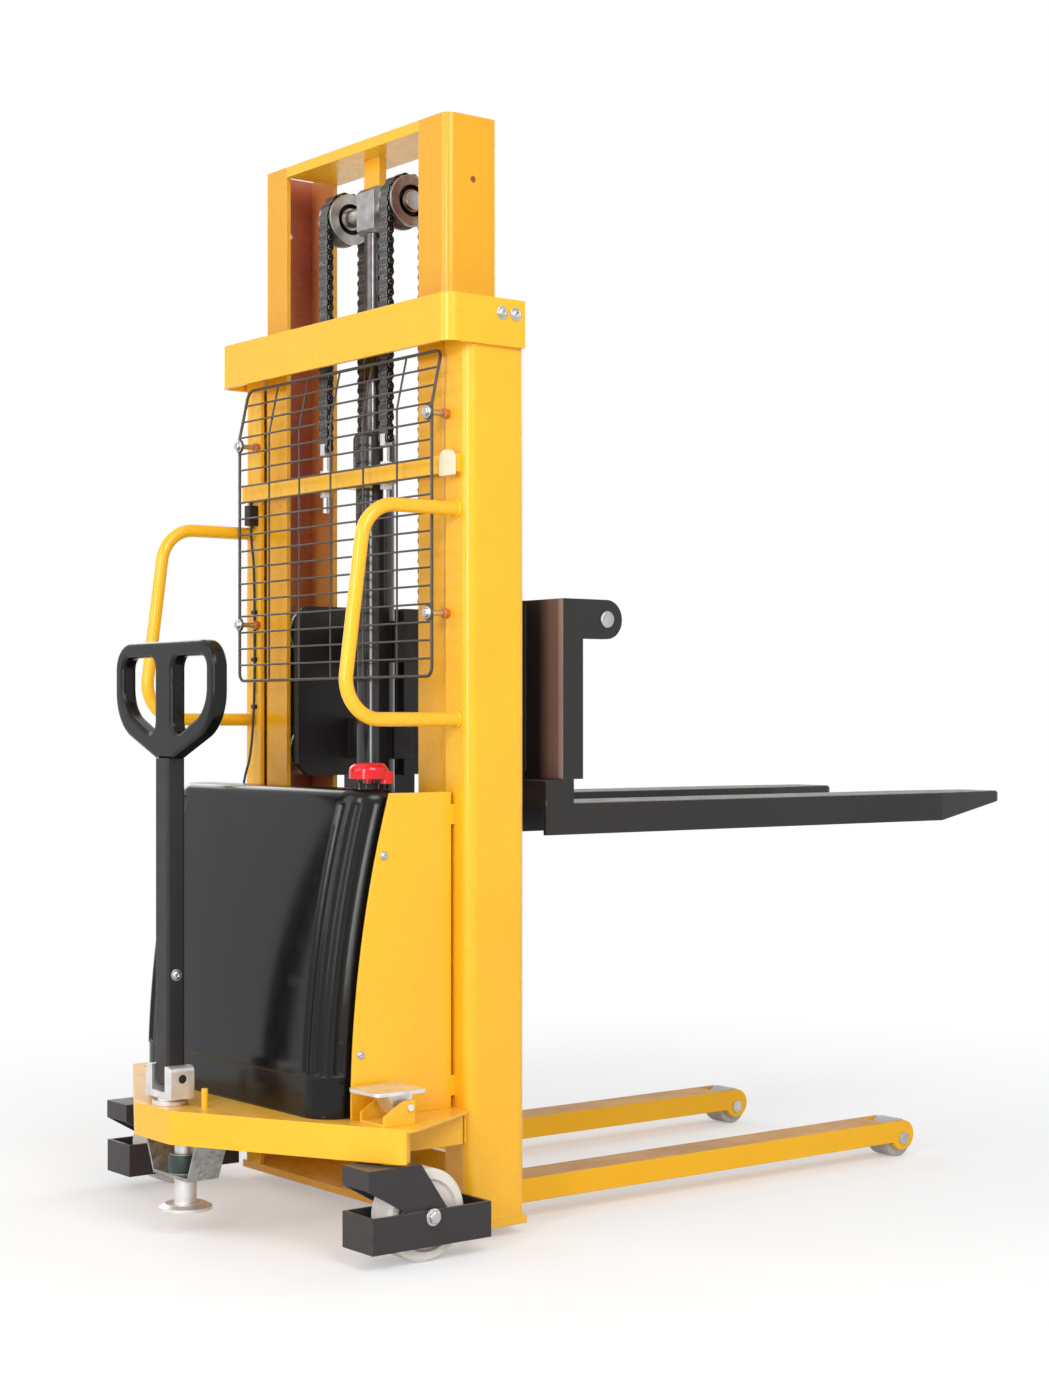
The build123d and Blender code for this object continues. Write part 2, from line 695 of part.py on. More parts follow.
# Chain sheaves: grooved rims on hubs, joined by a thinner web
groove_root = SHEAVE_PITCH_RADIUS - CHAIN_PLATE / 2 - LOOSE
groove_half = CHAIN_WIDTH / 2 + SHEAVE_SIDE_GAP
sheave_bore = SHEAVE_AXLE_RADIUS + RUNNING
sheave_hub = SHEAVE_AXLE_RADIUS + SHEAVE_HUB_WALL
sheave_outline = [
    (-SHEAVE_WIDTH / 2, sheave_bore),
    (SHEAVE_WIDTH / 2, sheave_bore),
    (SHEAVE_WIDTH / 2, sheave_hub),
    (SHEAVE_WEB / 2, sheave_hub),
    (SHEAVE_WEB / 2, groove_root - SHEAVE_RIM),
    (SHEAVE_WIDTH / 2, groove_root - SHEAVE_RIM),
    (SHEAVE_WIDTH / 2, SHEAVE_PITCH_RADIUS + SHEAVE_LIP),
    (groove_half, SHEAVE_PITCH_RADIUS + SHEAVE_LIP),
    (groove_half, groove_root),
    (-groove_half, groove_root),
    (-groove_half, SHEAVE_PITCH_RADIUS + SHEAVE_LIP),
    (-SHEAVE_WIDTH / 2, SHEAVE_PITCH_RADIUS + SHEAVE_LIP),
    (-SHEAVE_WIDTH / 2, groove_root - SHEAVE_RIM),
    (-SHEAVE_WEB / 2, groove_root - SHEAVE_RIM),
    (-SHEAVE_WEB / 2, sheave_hub),
    (-SHEAVE_WIDTH / 2, sheave_hub),
]
sheaves = [turned(sheave_outline, (side * SHEAVE_X, CYLINDER_Y, SHEAVE_Z)) for side in (1, -1)]
write(together(sheaves), "chain_sheaves")

# Leaf chains from the cross bar, over the sheaves and down to the carriage
rear_strands = [leaf_strand(side * SHEAVE_X, REAR_STRAND_Y, ANCHOR_TOP, SHEAVE_Z) for side in (1, -1)]
write(together(rear_strands), "chain_rear_strands")
front_strands = [
    leaf_strand(side * SHEAVE_X, FRONT_STRAND_Y, FRONT_ANCHOR_TOP, SHEAVE_Z) for side in (1, -1)
]
write(together(front_strands), "chain_front_strands")
write(together([leaf_wrap(SHEAVE_X), leaf_wrap(-SHEAVE_X)]), "chain_wraps")

# Cross bar behind the mast: a lug for each chain anchor and a saddle that steadies the cylinder
with BuildPart() as chain_cross_bar:
    with Locations((0, 0, CROSS_BAR_Z)):
        Box(
            2 * (MAST_HALF - MAST_CORNER),
            CROSS_BAR_DEPTH,
            CROSS_BAR_HEIGHT,
            align=(Align.CENTER, Align.MAX, Align.MIN),
        )
    with Locations(*[(side * SHEAVE_X, -CROSS_BAR_DEPTH / 2, CROSS_BAR_Z) for side in (1, -1)]):
        Box(
            LUG_WIDTH,
            REAR_STRAND_Y + LUG_EDGE + CROSS_BAR_DEPTH / 2,
            CROSS_BAR_HEIGHT,
            align=(Align.CENTER, Align.MIN, Align.MIN),
        )
    with Locations((0, -CROSS_BAR_DEPTH / 2, CROSS_BAR_Z)):
        Box(
            SADDLE_WIDTH,
            CYLINDER_Y + CROSS_BAR_DEPTH / 2,
            CROSS_BAR_HEIGHT,
            align=(Align.CENTER, Align.MIN, Align.MIN),
        )
    with BuildSketch(Plane.XY.offset(CROSS_BAR_Z)):
        with Locations((0, CYLINDER_Y)):
            Circle(BARREL_RADIUS + LOOSE)
        with Locations(*[(side * SHEAVE_X, REAR_STRAND_Y) for side in (1, -1)]):
            Circle(ANCHOR_ROD_RADIUS + SEAT)
    extrude(amount=CROSS_BAR_HEIGHT, mode=Mode.SUBTRACT)
write(chain_cross_bar.part, "chain_cross_bar")


def chain_anchor(x, y, lug_bottom, lug_top):
    """Anchor rod through a lug, with a nut below and above and a flat eye for the chain end."""
    with BuildPart() as anchor:
        with BuildSketch(Plane.XY.offset(lug_bottom - ANCHOR_TAIL)):
            with Locations((x, y)):
                Circle(ANCHOR_ROD_RADIUS)
        extrude(amount=ANCHOR_TAIL + lug_top - lug_bottom + ANCHOR_RISE - ANCHOR_EYE)
        for nut_base in (lug_bottom - ANCHOR_NUT, lug_top):
            with BuildSketch(Plane.XY.offset(nut_base)):
                with Locations((x, y)):
                    RegularPolygon(ANCHOR_NUT_RADIUS, 6)
            extrude(amount=ANCHOR_NUT)
        with BuildSketch(Plane.XY.offset(lug_top + ANCHOR_RISE - ANCHOR_EYE)):
            with Locations((x, y)):
                Rectangle(ANCHOR_EYE_WIDTH, CHAIN_PLATE)
        extrude(amount=ANCHOR_EYE)
    return anchor.part


write(
    together(
        [chain_anchor(side * SHEAVE_X, REAR_STRAND_Y, CROSS_BAR_Z, CROSS_BAR_TOP) for side in (1, -1)]
    ),
    "chain_anchors",
)

# Straddle legs: box sections with a cheek either side of the load roller
LEG_LEFT = LEG_CENTRE - LEG_WIDTH / 2
with BuildPart() as leg:
    with BuildSketch(Plane.YZ.offset(LEG_LEFT)):
        with Locations(((BASE_FRONT + LOAD_ROLLER_Y) / 2, (LEG_BOTTOM + LEG_TOP) / 2)):
            Rectangle(LOAD_ROLLER_Y - BASE_FRONT, LEG_TOP - LEG_BOTTOM)
        with Locations((LOAD_ROLLER_Y, LEG_TOP - LEG_TIP_RADIUS)):
            Circle(LEG_TIP_RADIUS)
    extrude(amount=LEG_WIDTH)
    pocket_start = LOAD_ROLLER_Y - LOAD_ROLLER_RADIUS - POCKET_GAP
    tube_end = pocket_start - LEG_CHEEK
    with Locations((LEG_CENTRE, BASE_FRONT, (LEG_BOTTOM + LEG_TOP) / 2)):
        Box(
            LEG_WIDTH - 2 * LEG_WALL,
            tube_end - BASE_FRONT,
            LEG_TOP - LEG_BOTTOM - 2 * LEG_WALL,
            align=(Align.CENTER, Align.MIN, Align.CENTER),
            mode=Mode.SUBTRACT,
        )
    with BuildSketch():
        with Locations((LEG_CENTRE, pocket_start)):
            Rectangle(
                LEG_WIDTH - 2 * LEG_CHEEK,
                LOAD_ROLLER_Y + LEG_TIP_RADIUS - pocket_start,
                align=(Align.CENTER, Align.MIN),
            )
    extrude(amount=LEG_TOP, mode=Mode.SUBTRACT)
    with BuildSketch(Plane.YZ.offset(LEG_LEFT)):
        with Locations((LOAD_ROLLER_Y, LOAD_ROLLER_RADIUS)):
            Circle(LOAD_AXLE_RADIUS + SEAT)
    extrude(amount=LEG_WIDTH, mode=Mode.SUBTRACT)
write_pair(leg.part, "leg")

load_roller_width = LEG_WIDTH - 2 * LEG_CHEEK - 2 * LOAD_ROLLER_SIDE_GAP
load_roller_outline = roller_outline(
    load_roller_width, LOAD_ROLLER_RADIUS, LOAD_AXLE_RADIUS + RUNNING, ROLLER_CHAMFER
)
write_pair(turned(load_roller_outline, (LEG_CENTRE, LOAD_ROLLER_Y, LOAD_ROLLER_RADIUS)), "load_roller")

axle_half = LEG_WIDTH / 2
head_radius = LOAD_AXLE_RADIUS + AXLE_HEAD
load_axle_outline = [
    (-axle_half - AXLE_HEAD, 0),
    (-axle_half - AXLE_HEAD, head_radius),
    (-axle_half, head_radius),
    (-axle_half, LOAD_AXLE_RADIUS),
    (axle_half, LOAD_AXLE_RADIUS),
    (axle_half, head_radius),
    (axle_half + AXLE_HEAD, head_radius),
    (axle_half + AXLE_HEAD, 0),
]
load_axles = [
    turned(load_axle_outline, (side * LEG_CENTRE, LOAD_ROLLER_Y, LOAD_ROLLER_RADIUS)) for side in (1, -1)
]
write(together(load_axles), "load_roller_axles")

# Carriage frame: two side plates with roller pins, joined by two bars, with lugs for the chains
CARRIAGE_BAR_Y = FRONT_STRAND_Y + CHAIN_PLATE / 2 + CARRIAGE_BAR_GAP
CARRIAGE_ROLLER_Y = INNER_REAR + INNER_DEPTH / 2
CARRIAGE_ROLLER_HEIGHTS = (CARRIAGE_BOTTOM + CARRIAGE_ROLLER_INSET, SHANK_TOP - CARRIAGE_ROLLER_INSET)
carriage_side_end = CARRIAGE_SIDE_X + CARRIAGE_SIDE
with BuildPart() as carriage_half:
    with BuildSketch(Plane.YZ.offset(CARRIAGE_SIDE_X)):
        with BuildLine():
            Polyline(
                (CARRIAGE_SIDE_REAR, CARRIAGE_BOTTOM + CARRIAGE_SNIP),
                (CARRIAGE_SIDE_REAR + CARRIAGE_SNIP, CARRIAGE_BOTTOM),
                (SHANK_FACE, CARRIAGE_BOTTOM),
                (SHANK_FACE, SHANK_TOP),
                (CARRIAGE_SIDE_REAR + CARRIAGE_SNIP, SHANK_TOP),
                (CARRIAGE_SIDE_REAR, SHANK_TOP - CARRIAGE_SNIP),
                close=True,
            )
        make_face()
    extrude(amount=CARRIAGE_SIDE)
    with BuildSketch(Plane.YZ.offset(carriage_side_end)):
        with Locations(*[(CARRIAGE_ROLLER_Y, z) for z in CARRIAGE_ROLLER_HEIGHTS]):
            Circle(ROLLER_PIN)
    extrude(amount=CARRIAGE_PIN_END - carriage_side_end)
    bar_feet = (
        CARRIAGE_BOTTOM + CARRIAGE_BAR_INSET,
        SHANK_TOP - CARRIAGE_BAR_INSET - CARRIAGE_BAR_HEIGHT,
    )
    with Locations(*[(0, CARRIAGE_BAR_Y, z) for z in bar_feet]):
        Box(
            CARRIAGE_SIDE_X,
            CARRIAGE_BAR_DEPTH,
            CARRIAGE_BAR_HEIGHT,
            align=(Align.MIN, Align.MIN, Align.MIN),
        )
    lug_rear = FRONT_STRAND_Y - LUG_EDGE
    with Locations((SHEAVE_X, lug_rear, FRONT_ANCHOR_Z)):
        Box(
            LUG_WIDTH,
            CARRIAGE_BAR_Y - lug_rear,
            CARRIAGE_LUG_HEIGHT,
            align=(Align.CENTER, Align.MIN, Align.MAX),
        )
    with BuildSketch(Plane.XY.offset(FRONT_ANCHOR_Z)):
        with Locations((SHEAVE_X, FRONT_STRAND_Y)):
            Circle(ANCHOR_ROD_RADIUS + SEAT)
    extrude(amount=-CARRIAGE_LUG_HEIGHT, mode=Mode.SUBTRACT)
with BuildPart() as carriage_frame:
    add(carriage_half.part)
    mirror(carriage_half.part, about=Plane.YZ)
write(carriage_frame.part, "carriage_frame")

front_anchors = [
    chain_anchor(side * SHEAVE_X, FRONT_STRAND_Y, FRONT_ANCHOR_Z - CARRIAGE_LUG_HEIGHT, FRONT_ANCHOR_Z)
    for side in (1, -1)
]
write(together(front_anchors), "carriage_chain_bolts")

carriage_roller_radius = INNER_DEPTH / 2 - INNER_WALL - ROLLER_GAP
carriage_roller_x = (carriage_side_end + CARRIAGE_PIN_END) / 2
carriage_roller_outline = roller_outline(
    CARRIAGE_ROLLER_WIDTH, carriage_roller_radius, ROLLER_PIN + RUNNING, ROLLER_CHAMFER
)
for level, z in zip(("lower", "upper"), CARRIAGE_ROLLER_HEIGHTS):
    pair = [
        turned(carriage_roller_outline, (side * carriage_roller_x, CARRIAGE_ROLLER_Y, z)) for side in (1, -1)
    ]
    write(together(pair), f"carriage_rollers_{level}")

# Forks: inverted channels that close over the legs, each with a shank, two cheeks and a forward ear
FORK_LEFT = LEG_CENTRE - FORK_WIDTH / 2
FORK_RIGHT = LEG_CENTRE + FORK_WIDTH / 2
FORK_BOTTOM = FORK_TOP - FORK_HEIGHT
TAPER_START = FORK_TIP - FORK_TAPER
with BuildPart() as fork:
    with BuildSketch(Plane.YZ.offset(FORK_LEFT)):
        with BuildLine():
            Polyline(
                (FORK_HEEL, FORK_BOTTOM),
                (TAPER_START, FORK_BOTTOM),
                (FORK_TIP, FORK_TOP - FORK_TIP_HEIGHT),
                (FORK_TIP, FORK_TOP - FORK_NOSE_DROP),
                (FORK_TIP - FORK_NOSE, FORK_TOP),
                (FORK_HEEL, FORK_TOP),
                close=True,
            )
        make_face()
    extrude(amount=FORK_WIDTH)
    with BuildSketch(Plane.XY.offset(FORK_BOTTOM)) as plan:
        with BuildLine():
            Polyline(
                (FORK_LEFT, FORK_HEEL),
                (FORK_RIGHT, FORK_HEEL),
                (FORK_RIGHT, TAPER_START),
                (LEG_CENTRE + FORK_TIP_WIDTH / 2, FORK_TIP),
                (LEG_CENTRE - FORK_TIP_WIDTH / 2, FORK_TIP),
                (FORK_LEFT, TAPER_START),
                close=True,
            )
        make_face()
        fillet(plan.vertices().sort_by(Axis.Y)[-2:], FORK_TIP_WIDTH / 3)
    extrude(amount=FORK_HEIGHT, mode=Mode.INTERSECT)
    with Locations((LEG_CENTRE, FORK_HEEL, FORK_BOTTOM)):
        Box(
            FORK_WIDTH - 2 * FORK_PLATE,
            TAPER_START - FORK_HEEL,
            FORK_HEIGHT - FORK_PLATE,
            align=(Align.CENTER, Align.MIN, Align.MIN),
            mode=Mode.SUBTRACT,
        )
    with Locations((LEG_CENTRE, SHANK_FACE, FORK_TOP)):
        Box(
            FORK_WIDTH,
            SHANK_PLATE,
            SHANK_TOP - FORK_TOP,
            align=(Align.CENTER, Align.MIN, Align.MIN),
        )
    with Locations((LEG_CENTRE, FORK_HEEL, FORK_TOP)):
        Box(
            FORK_WIDTH,
            SHANK_FACE - FORK_HEEL,
            CARRIAGE_BOTTOM - FORK_TOP - HEEL_GAP,
            align=(Align.CENTER, Align.MIN, Align.MIN),
        )
    with Locations((FORK_LEFT, SHANK_REAR, FORK_TOP + SHANK_NOTCH)):
        Box(
            SHANK_CHEEK,
            SHANK_DEPTH,
            SHANK_TOP - FORK_TOP - SHANK_NOTCH,
            align=(Align.MIN, Align.MIN, Align.MIN),
        )
    with BuildSketch(Plane.YZ.offset(FORK_RIGHT - SHANK_CHEEK)):
        with BuildLine():
            Polyline(
                (EAR_Y, SHANK_TOP),
                (SHANK_REAR, SHANK_TOP),
                (SHANK_REAR, FORK_TOP + SHANK_NOTCH),
                (SHANK_FRONT, FORK_TOP + SHANK_NOTCH),
                (SHANK_FRONT, EAR_Z - EAR_RADIUS),
                (EAR_Y, EAR_Z - EAR_RADIUS),
            )
            ThreePointArc((EAR_Y, EAR_Z - EAR_RADIUS), (EAR_Y + EAR_RADIUS, EAR_Z), (EAR_Y, SHANK_TOP))
        make_face()
        with Locations((EAR_Y, EAR_Z)):
            Circle(CROSS_SHAFT_RADIUS + SEAT, mode=Mode.SUBTRACT)
    extrude(amount=SHANK_CHEEK)
write_pair(fork.part, "fork")

# Cross shaft through both ears
with BuildPart() as cross_shaft:
    shaft_end = FORK_RIGHT + CROSS_SHAFT_END
    with BuildSketch(Plane.YZ.offset(-shaft_end)):
        with Locations((EAR_Y, EAR_Z)):
            Circle(CROSS_SHAFT_RADIUS)
    extrude(amount=2 * shaft_end)
    chamfer(cross_shaft.edges().filter_by(GeomType.CIRCLE), CROSS_SHAFT_CHAMFER)
write(cross_shaft.part, "cross_shaft")

# Platform: a deck with a turned-down lip round the rear, webs to the mast, caster housings and two pegs
CROWN_BOTTOM = 2 * WHEEL_RADIUS + WHEEL_TOP_GAP
CROWN_TOP = CROWN_BOTTOM + CASTER_CROWN
with BuildSketch() as deck_outline:
    with BuildLine():
        Polyline(
            (MAST_HALF, 0),
            (PLATFORM_WIDTH / 2, -PLATFORM_SHOULDER),
            (PLATFORM_NOSE / 2, -PLATFORM_REACH),
            (-PLATFORM_NOSE / 2, -PLATFORM_REACH),
            (-PLATFORM_WIDTH / 2, -PLATFORM_SHOULDER),
            (-MAST_HALF, 0),
            close=True,
        )
    make_face()
    fillet(deck_outline.vertices().sort_by(Axis.Y)[:4], PLATFORM_CORNER)
with BuildSketch() as deck_inside:
    offset(deck_outline.sketch, amount=-PLATFORM_LIP_WALL)
with BuildPart() as platform:
    with BuildSketch(Plane.XY.offset(PLATFORM_TOP)):
        add(deck_outline.sketch)
    extrude(amount=-PLATFORM_PLATE)
    with BuildSketch(Plane.XY.offset(PLATFORM_TOP - PLATFORM_PLATE / 2)):
        add(deck_outline.sketch)
        add(deck_inside.sketch, mode=Mode.SUBTRACT)
    extrude(amount=PLATFORM_PLATE / 2 - PLATFORM_LIP)
    with Locations((0, -PLATFORM_SHOULDER, DECK_UNDER)):
        Box(
            2 * PLATFORM_WIDTH,
            2 * PLATFORM_SHOULDER,
            PLATFORM_LIP,
            align=(Align.CENTER, Align.MIN, Align.MAX),
            mode=Mode.SUBTRACT,
        )
    for web_x in (PLATFORM_WEB_X, -PLATFORM_WEB_X):
        with Locations((web_x, -PLATFORM_LIP_WALL, PLATFORM_TOP - PLATFORM_LIP)):
            Box(
                PLATFORM_WEB,
                PLATFORM_SHOULDER,
                PLATFORM_LIP - PLATFORM_PLATE / 2,
                align=(Align.CENTER, Align.MAX, Align.MIN),
            )
    with BuildSketch(Plane.XY.offset(DECK_UNDER)):
        with Locations((CASTER_X, -CASTER_Y), (-CASTER_X, -CASTER_Y)):
            Circle(CASTER_STEM_RADIUS + CASTER_HOUSING_WALL)
    extrude(amount=CROWN_TOP + LOOSE - DECK_UNDER)
    with BuildSketch(Plane.XY.offset(PLATFORM_TOP)):
        with Locations((CASTER_X, -CASTER_Y), (-CASTER_X, -CASTER_Y)):
            Circle(CASTER_STEM_RADIUS + RUNNING)
        with Locations((0, -TILLER_Y)):
            Circle(YOKE_SPIGOT + RUNNING)
    extrude(amount=CROWN_TOP - PLATFORM_TOP, mode=Mode.SUBTRACT)
    with BuildSketch(Plane.XY.offset(PLATFORM_TOP)):
        with Locations((PEG_X, -PEG_Y), (-PEG_X, -PEG_Y)):
            Circle(PEG_RADIUS)
    extrude(amount=PEG_HEIGHT)
write(platform.part, "platform")


def hood_curve(setback, low, high):
    """Rear line of the hood in the side view, moved forward by a setback, between two heights."""
    rise = HOOD_TOP - PLATFORM_TOP
    lean = HOOD_FOOT_REACH - HOOD_TOP_REACH
    radius = (rise**2 + lean**2) / (2 * lean)
    points = []
    for height in (low, (low + high) / 2, high):
        drop = radius - math.sqrt(radius**2 - (height - PLATFORM_TOP) ** 2)
        points.append((setback - HOOD_FOOT_REACH + drop, height))
    return points


# Hood: a moulded cover, upright at the foot and leaning forward above, open in front and below
hood_rear = hood_curve(0, PLATFORM_TOP, HOOD_TOP)
with BuildPart() as hood:
    with BuildSketch(Plane.YZ.offset(-HOOD_WIDTH / 2)):
        with BuildLine():
            ThreePointArc(*hood_rear)
            Polyline(
                hood_rear[-1],
                (-HOOD_FRONT, HOOD_TOP),
                (-HOOD_FRONT, PLATFORM_TOP),
                hood_rear[0],
            )
        make_face()
    extrude(amount=HOOD_WIDTH)
    rear_sides = hood.faces().sort_by(Axis.Y)[0].edges().sort_by(Axis.X)
    fillet([rear_sides[0], rear_sides[-1]], HOOD_CORNER)
    top_rim = hood.faces().sort_by(Axis.Z)[-1].edges().filter_by_position(
        Axis.Y, -HOOD_FOOT_REACH, -HOOD_FRONT - SEAT
    )
    fillet(top_rim, HOOD_TOP_ROUND)
    front_face = hood.faces().sort_by(Axis.Y)[-1]
    bottom_face = hood.faces().sort_by(Axis.Z)[0]
    offset(amount=-HOOD_WALL, openings=[front_face, bottom_face])
    with BuildSketch(Plane.XY.offset(PLATFORM_TOP)):
        Rectangle(2 * HOOD_WIDTH, 2 * HOOD_FOOT_REACH, align=(Align.CENTER, Align.MAX))
        add(
            band(
                HOOD_WIDTH / 2 - HOOD_BAND_STEP,
                HOOD_BAND_STEP - HOOD_FOOT_REACH,
                0,
                HOOD_CORNER - HOOD_BAND_STEP,
            ),
            mode=Mode.SUBTRACT,
        )
    extrude(amount=HOOD_BAND, mode=Mode.SUBTRACT)
    groove_low = PLATFORM_TOP + HOOD_BAND + HOOD_GROOVE_END
    groove_high = HOOD_TOP - HOOD_TOP_ROUND
    groove_radius = (HOOD_GROOVE_WIDTH**2 / 4 + HOOD_GROOVE_DEPTH**2) / (2 * HOOD_GROOVE_DEPTH)
    groove_reach = HOOD_CORNER + groove_radius - HOOD_GROOVE_DEPTH
    for side in (1, -1):
        for turn in HOOD_GROOVE_TURNS:
            groove_x = HOOD_WIDTH / 2 - HOOD_CORNER + groove_reach * math.sin(math.radians(turn))
            groove_setback = HOOD_CORNER - groove_reach * math.cos(math.radians(turn))
            groove_line = hood_curve(groove_setback, groove_low, groove_high)
            with BuildLine() as groove_path:
                ThreePointArc(*[(side * groove_x, y, z) for y, z in groove_line])
            groove_start = groove_path.line @ 0
            with BuildSketch(Plane(origin=groove_start, z_dir=groove_path.line % 0)):
                Circle(groove_radius)
            sweep(path=groove_path.line, mode=Mode.SUBTRACT)
    with BuildSketch(Plane.XY.offset(HOOD_TOP - HOOD_WALL / 2)):
        with Locations((KNOB_X, -KNOB_Y)):
            Circle(KNOB_COLLAR)
    extrude(amount=HOOD_WALL / 2 + KNOB_COLLAR_HEIGHT)
    with BuildSketch(Plane.XY.offset(HOOD_TOP + KNOB_COLLAR_HEIGHT)):
        with Locations((KNOB_X, -KNOB_Y)):
            Circle(KNOB_STEM + RUNNING)
    extrude(amount=-HOOD_WALL - KNOB_COLLAR_HEIGHT, mode=Mode.SUBTRACT)
write(hood.part, "hood")

# Side panels: sheets between the hood and the mast, with a return and two tabs along the mast
panel_rear = hood_curve(PANEL_SETBACK, PLATFORM_TOP, PANEL_TOP)
with BuildPart() as side_panel:
    with BuildSketch(Plane.YZ.offset(PANEL_X - PANEL_SHEET)):
        with BuildLine():
            ThreePointArc(*panel_rear)
            Polyline(
                panel_rear[-1],
                (-PANEL_MAST_GAP, PANEL_TOP),
                (-PANEL_MAST_GAP, PLATFORM_TOP),
                panel_rear[0],
            )
        make_face()
    extrude(amount=PANEL_SHEET)
    with Locations((PANEL_X, -PANEL_MAST_GAP, PLATFORM_TOP)):
        Box(
            PANEL_RETURN,
            PANEL_SHEET,
            PANEL_TOP - PLATFORM_TOP,
            align=(Align.MAX, Align.MAX, Align.MIN),
        )
    tab_feet = (PLATFORM_TOP + PANEL_TAB_INSET, PANEL_TOP - PANEL_TAB_INSET - PANEL_TAB)
    with Locations(*[(PANEL_X, 0, z) for z in tab_feet]):
        Box(PANEL_SHEET, PANEL_MAST_GAP, PANEL_TAB, align=(Align.MAX, Align.MAX, Align.MIN))
write_pair(side_panel.part, "side_panel")

# Battery and pump unit standing on the deck under the hood
with BuildPart() as battery:
    with Locations((-BATTERY_X, -BATTERY_Y, PLATFORM_TOP)):
        Box(*BATTERY_SIZE, align=(Align.CENTER, Align.CENTER, Align.MIN))
    fillet(battery.edges().filter_by(Axis.Z), BATTERY_CORNER)
    with Locations(*[(x - BATTERY_X, -BATTERY_Y, PLATFORM_TOP + BATTERY_SIZE[2]) for x in BATTERY_POSTS]):
        Cylinder(BATTERY_POST_RADIUS, BATTERY_POST_HEIGHT, align=(Align.CENTER, Align.CENTER, Align.MIN))
write(battery.part, "battery")

with BuildPart() as pump_unit:
    with Locations((PUMP_X, -PUMP_Y, PLATFORM_TOP)):
        Box(*PUMP_TANK, align=(Align.CENTER, Align.CENTER, Align.MIN))
    fillet(pump_unit.edges().filter_by(Axis.Z), BATTERY_CORNER)
    with Locations((PUMP_X, -PUMP_Y, PLATFORM_TOP + PUMP_TANK[2])):
        Cylinder(PUMP_MOTOR_RADIUS, PUMP_MOTOR_HEIGHT, align=(Align.CENTER, Align.CENTER, Align.MIN))
    chamfer(pump_unit.edges().group_by(Axis.Z)[-1], BATTERY_CORNER)
write(pump_unit.part, "pump_unit")

# Mesh guard: one welded net, its top rows bent towards the mast
GUARD_PITCH = (GUARD_TOP - GUARD_BOTTOM - GUARD_WIRE) / GUARD_ROWS
GUARD_COLUMN = (2 * GUARD_HALF_WIDTH - 2 * GUARD_BORDER + GUARD_WIRE) / GUARD_COLUMNS
BEND_Z = GUARD_BOTTOM + GUARD_WIRE / 2 + (GUARD_ROWS - GUARD_BENT_ROWS) * GUARD_PITCH

guard_face = -GUARD_STANDOFF - GUARD_WIRE / 2
with BuildPart() as mesh_guard:
    with BuildSketch(Plane.YZ.offset(-GUARD_HALF_WIDTH)):
        with BuildLine():
            Polyline(
                (guard_face, GUARD_BOTTOM),
                (guard_face + GUARD_WIRE, GUARD_BOTTOM),
                (guard_face + GUARD_WIRE, BEND_Z),
                (guard_face + GUARD_WIRE + GUARD_LEAN, GUARD_TOP),
                (guard_face + GUARD_LEAN, GUARD_TOP),
                (guard_face, BEND_Z),
                close=True,
            )
        make_face()
    extrude(amount=2 * GUARD_HALF_WIDTH)
    with BuildSketch(Plane.XZ.offset(-guard_face)):
        with Locations((0, (GUARD_BOTTOM + GUARD_TOP) / 2)):
            with GridLocations(GUARD_COLUMN, GUARD_PITCH, GUARD_COLUMNS, GUARD_ROWS):
                Rectangle(GUARD_COLUMN - GUARD_WIRE, GUARD_PITCH - GUARD_WIRE)
    extrude(amount=-GUARD_WIRE - GUARD_LEAN, mode=Mode.SUBTRACT)
write(mesh_guard.part, "mesh_guard")

# Guard clamps: studs on the uprights, with a bolt head outside the net beside its border wire
CLAMP_X = GUARD_HALF_WIDTH - GUARD_BORDER - CLAMP_CORE - SEAT
clamp_outline = [
    (0, 0),
    (CLAMP_STUD, 0),
    (CLAMP_STUD, guard_face + GUARD_WIRE),
    (CLAMP_CORE, guard_face + GUARD_WIRE),
    (CLAMP_CORE, guard_face),
    (CLAMP_RADIUS, guard_face),
    (CLAMP_RADIUS, guard_face - CLAMP_HEAD),
    (0, guard_face - CLAMP_HEAD),
]
clamps = []
for side in (1, -1):
    for row in (CLAMP_LOW_ROW, CLAMP_HIGH_ROW):
        clamp_z = GUARD_BOTTOM + GUARD_WIRE / 2 + (row + 0.5) * GUARD_PITCH
        with BuildPart() as clamp:
            with BuildSketch(Plane.XY.offset(clamp_z)):
                with BuildLine():
                    Polyline(*[(side * CLAMP_X + x, y) for x, y in clamp_outline], close=True)
                make_face()
            revolve(axis=Axis((side * CLAMP_X, 0, clamp_z), (0, 1, 0)))
        clamps.append(clamp.part)
write(together(clamps), "guard_clamps")

# Grab handles: bent tubes welded to the rear of the uprights
with BuildPart() as grab_handle:
    with BuildLine(Plane.YZ.offset(HANDLE_X)):
        handle_run = FilletPolyline(
            (0, HANDLE_HIGH),
            (-HANDLE_REACH_HIGH, HANDLE_HIGH),
            (-HANDLE_REACH_LOW, HANDLE_LOW),
            (0, HANDLE_LOW),
            radius=HANDLE_BEND,
        )
    with BuildSketch(Plane(origin=handle_run @ 0, z_dir=handle_run % 0)):
        Circle(HANDLE_TUBE)
    sweep()
write_pair(grab_handle.part, "grab_handle")

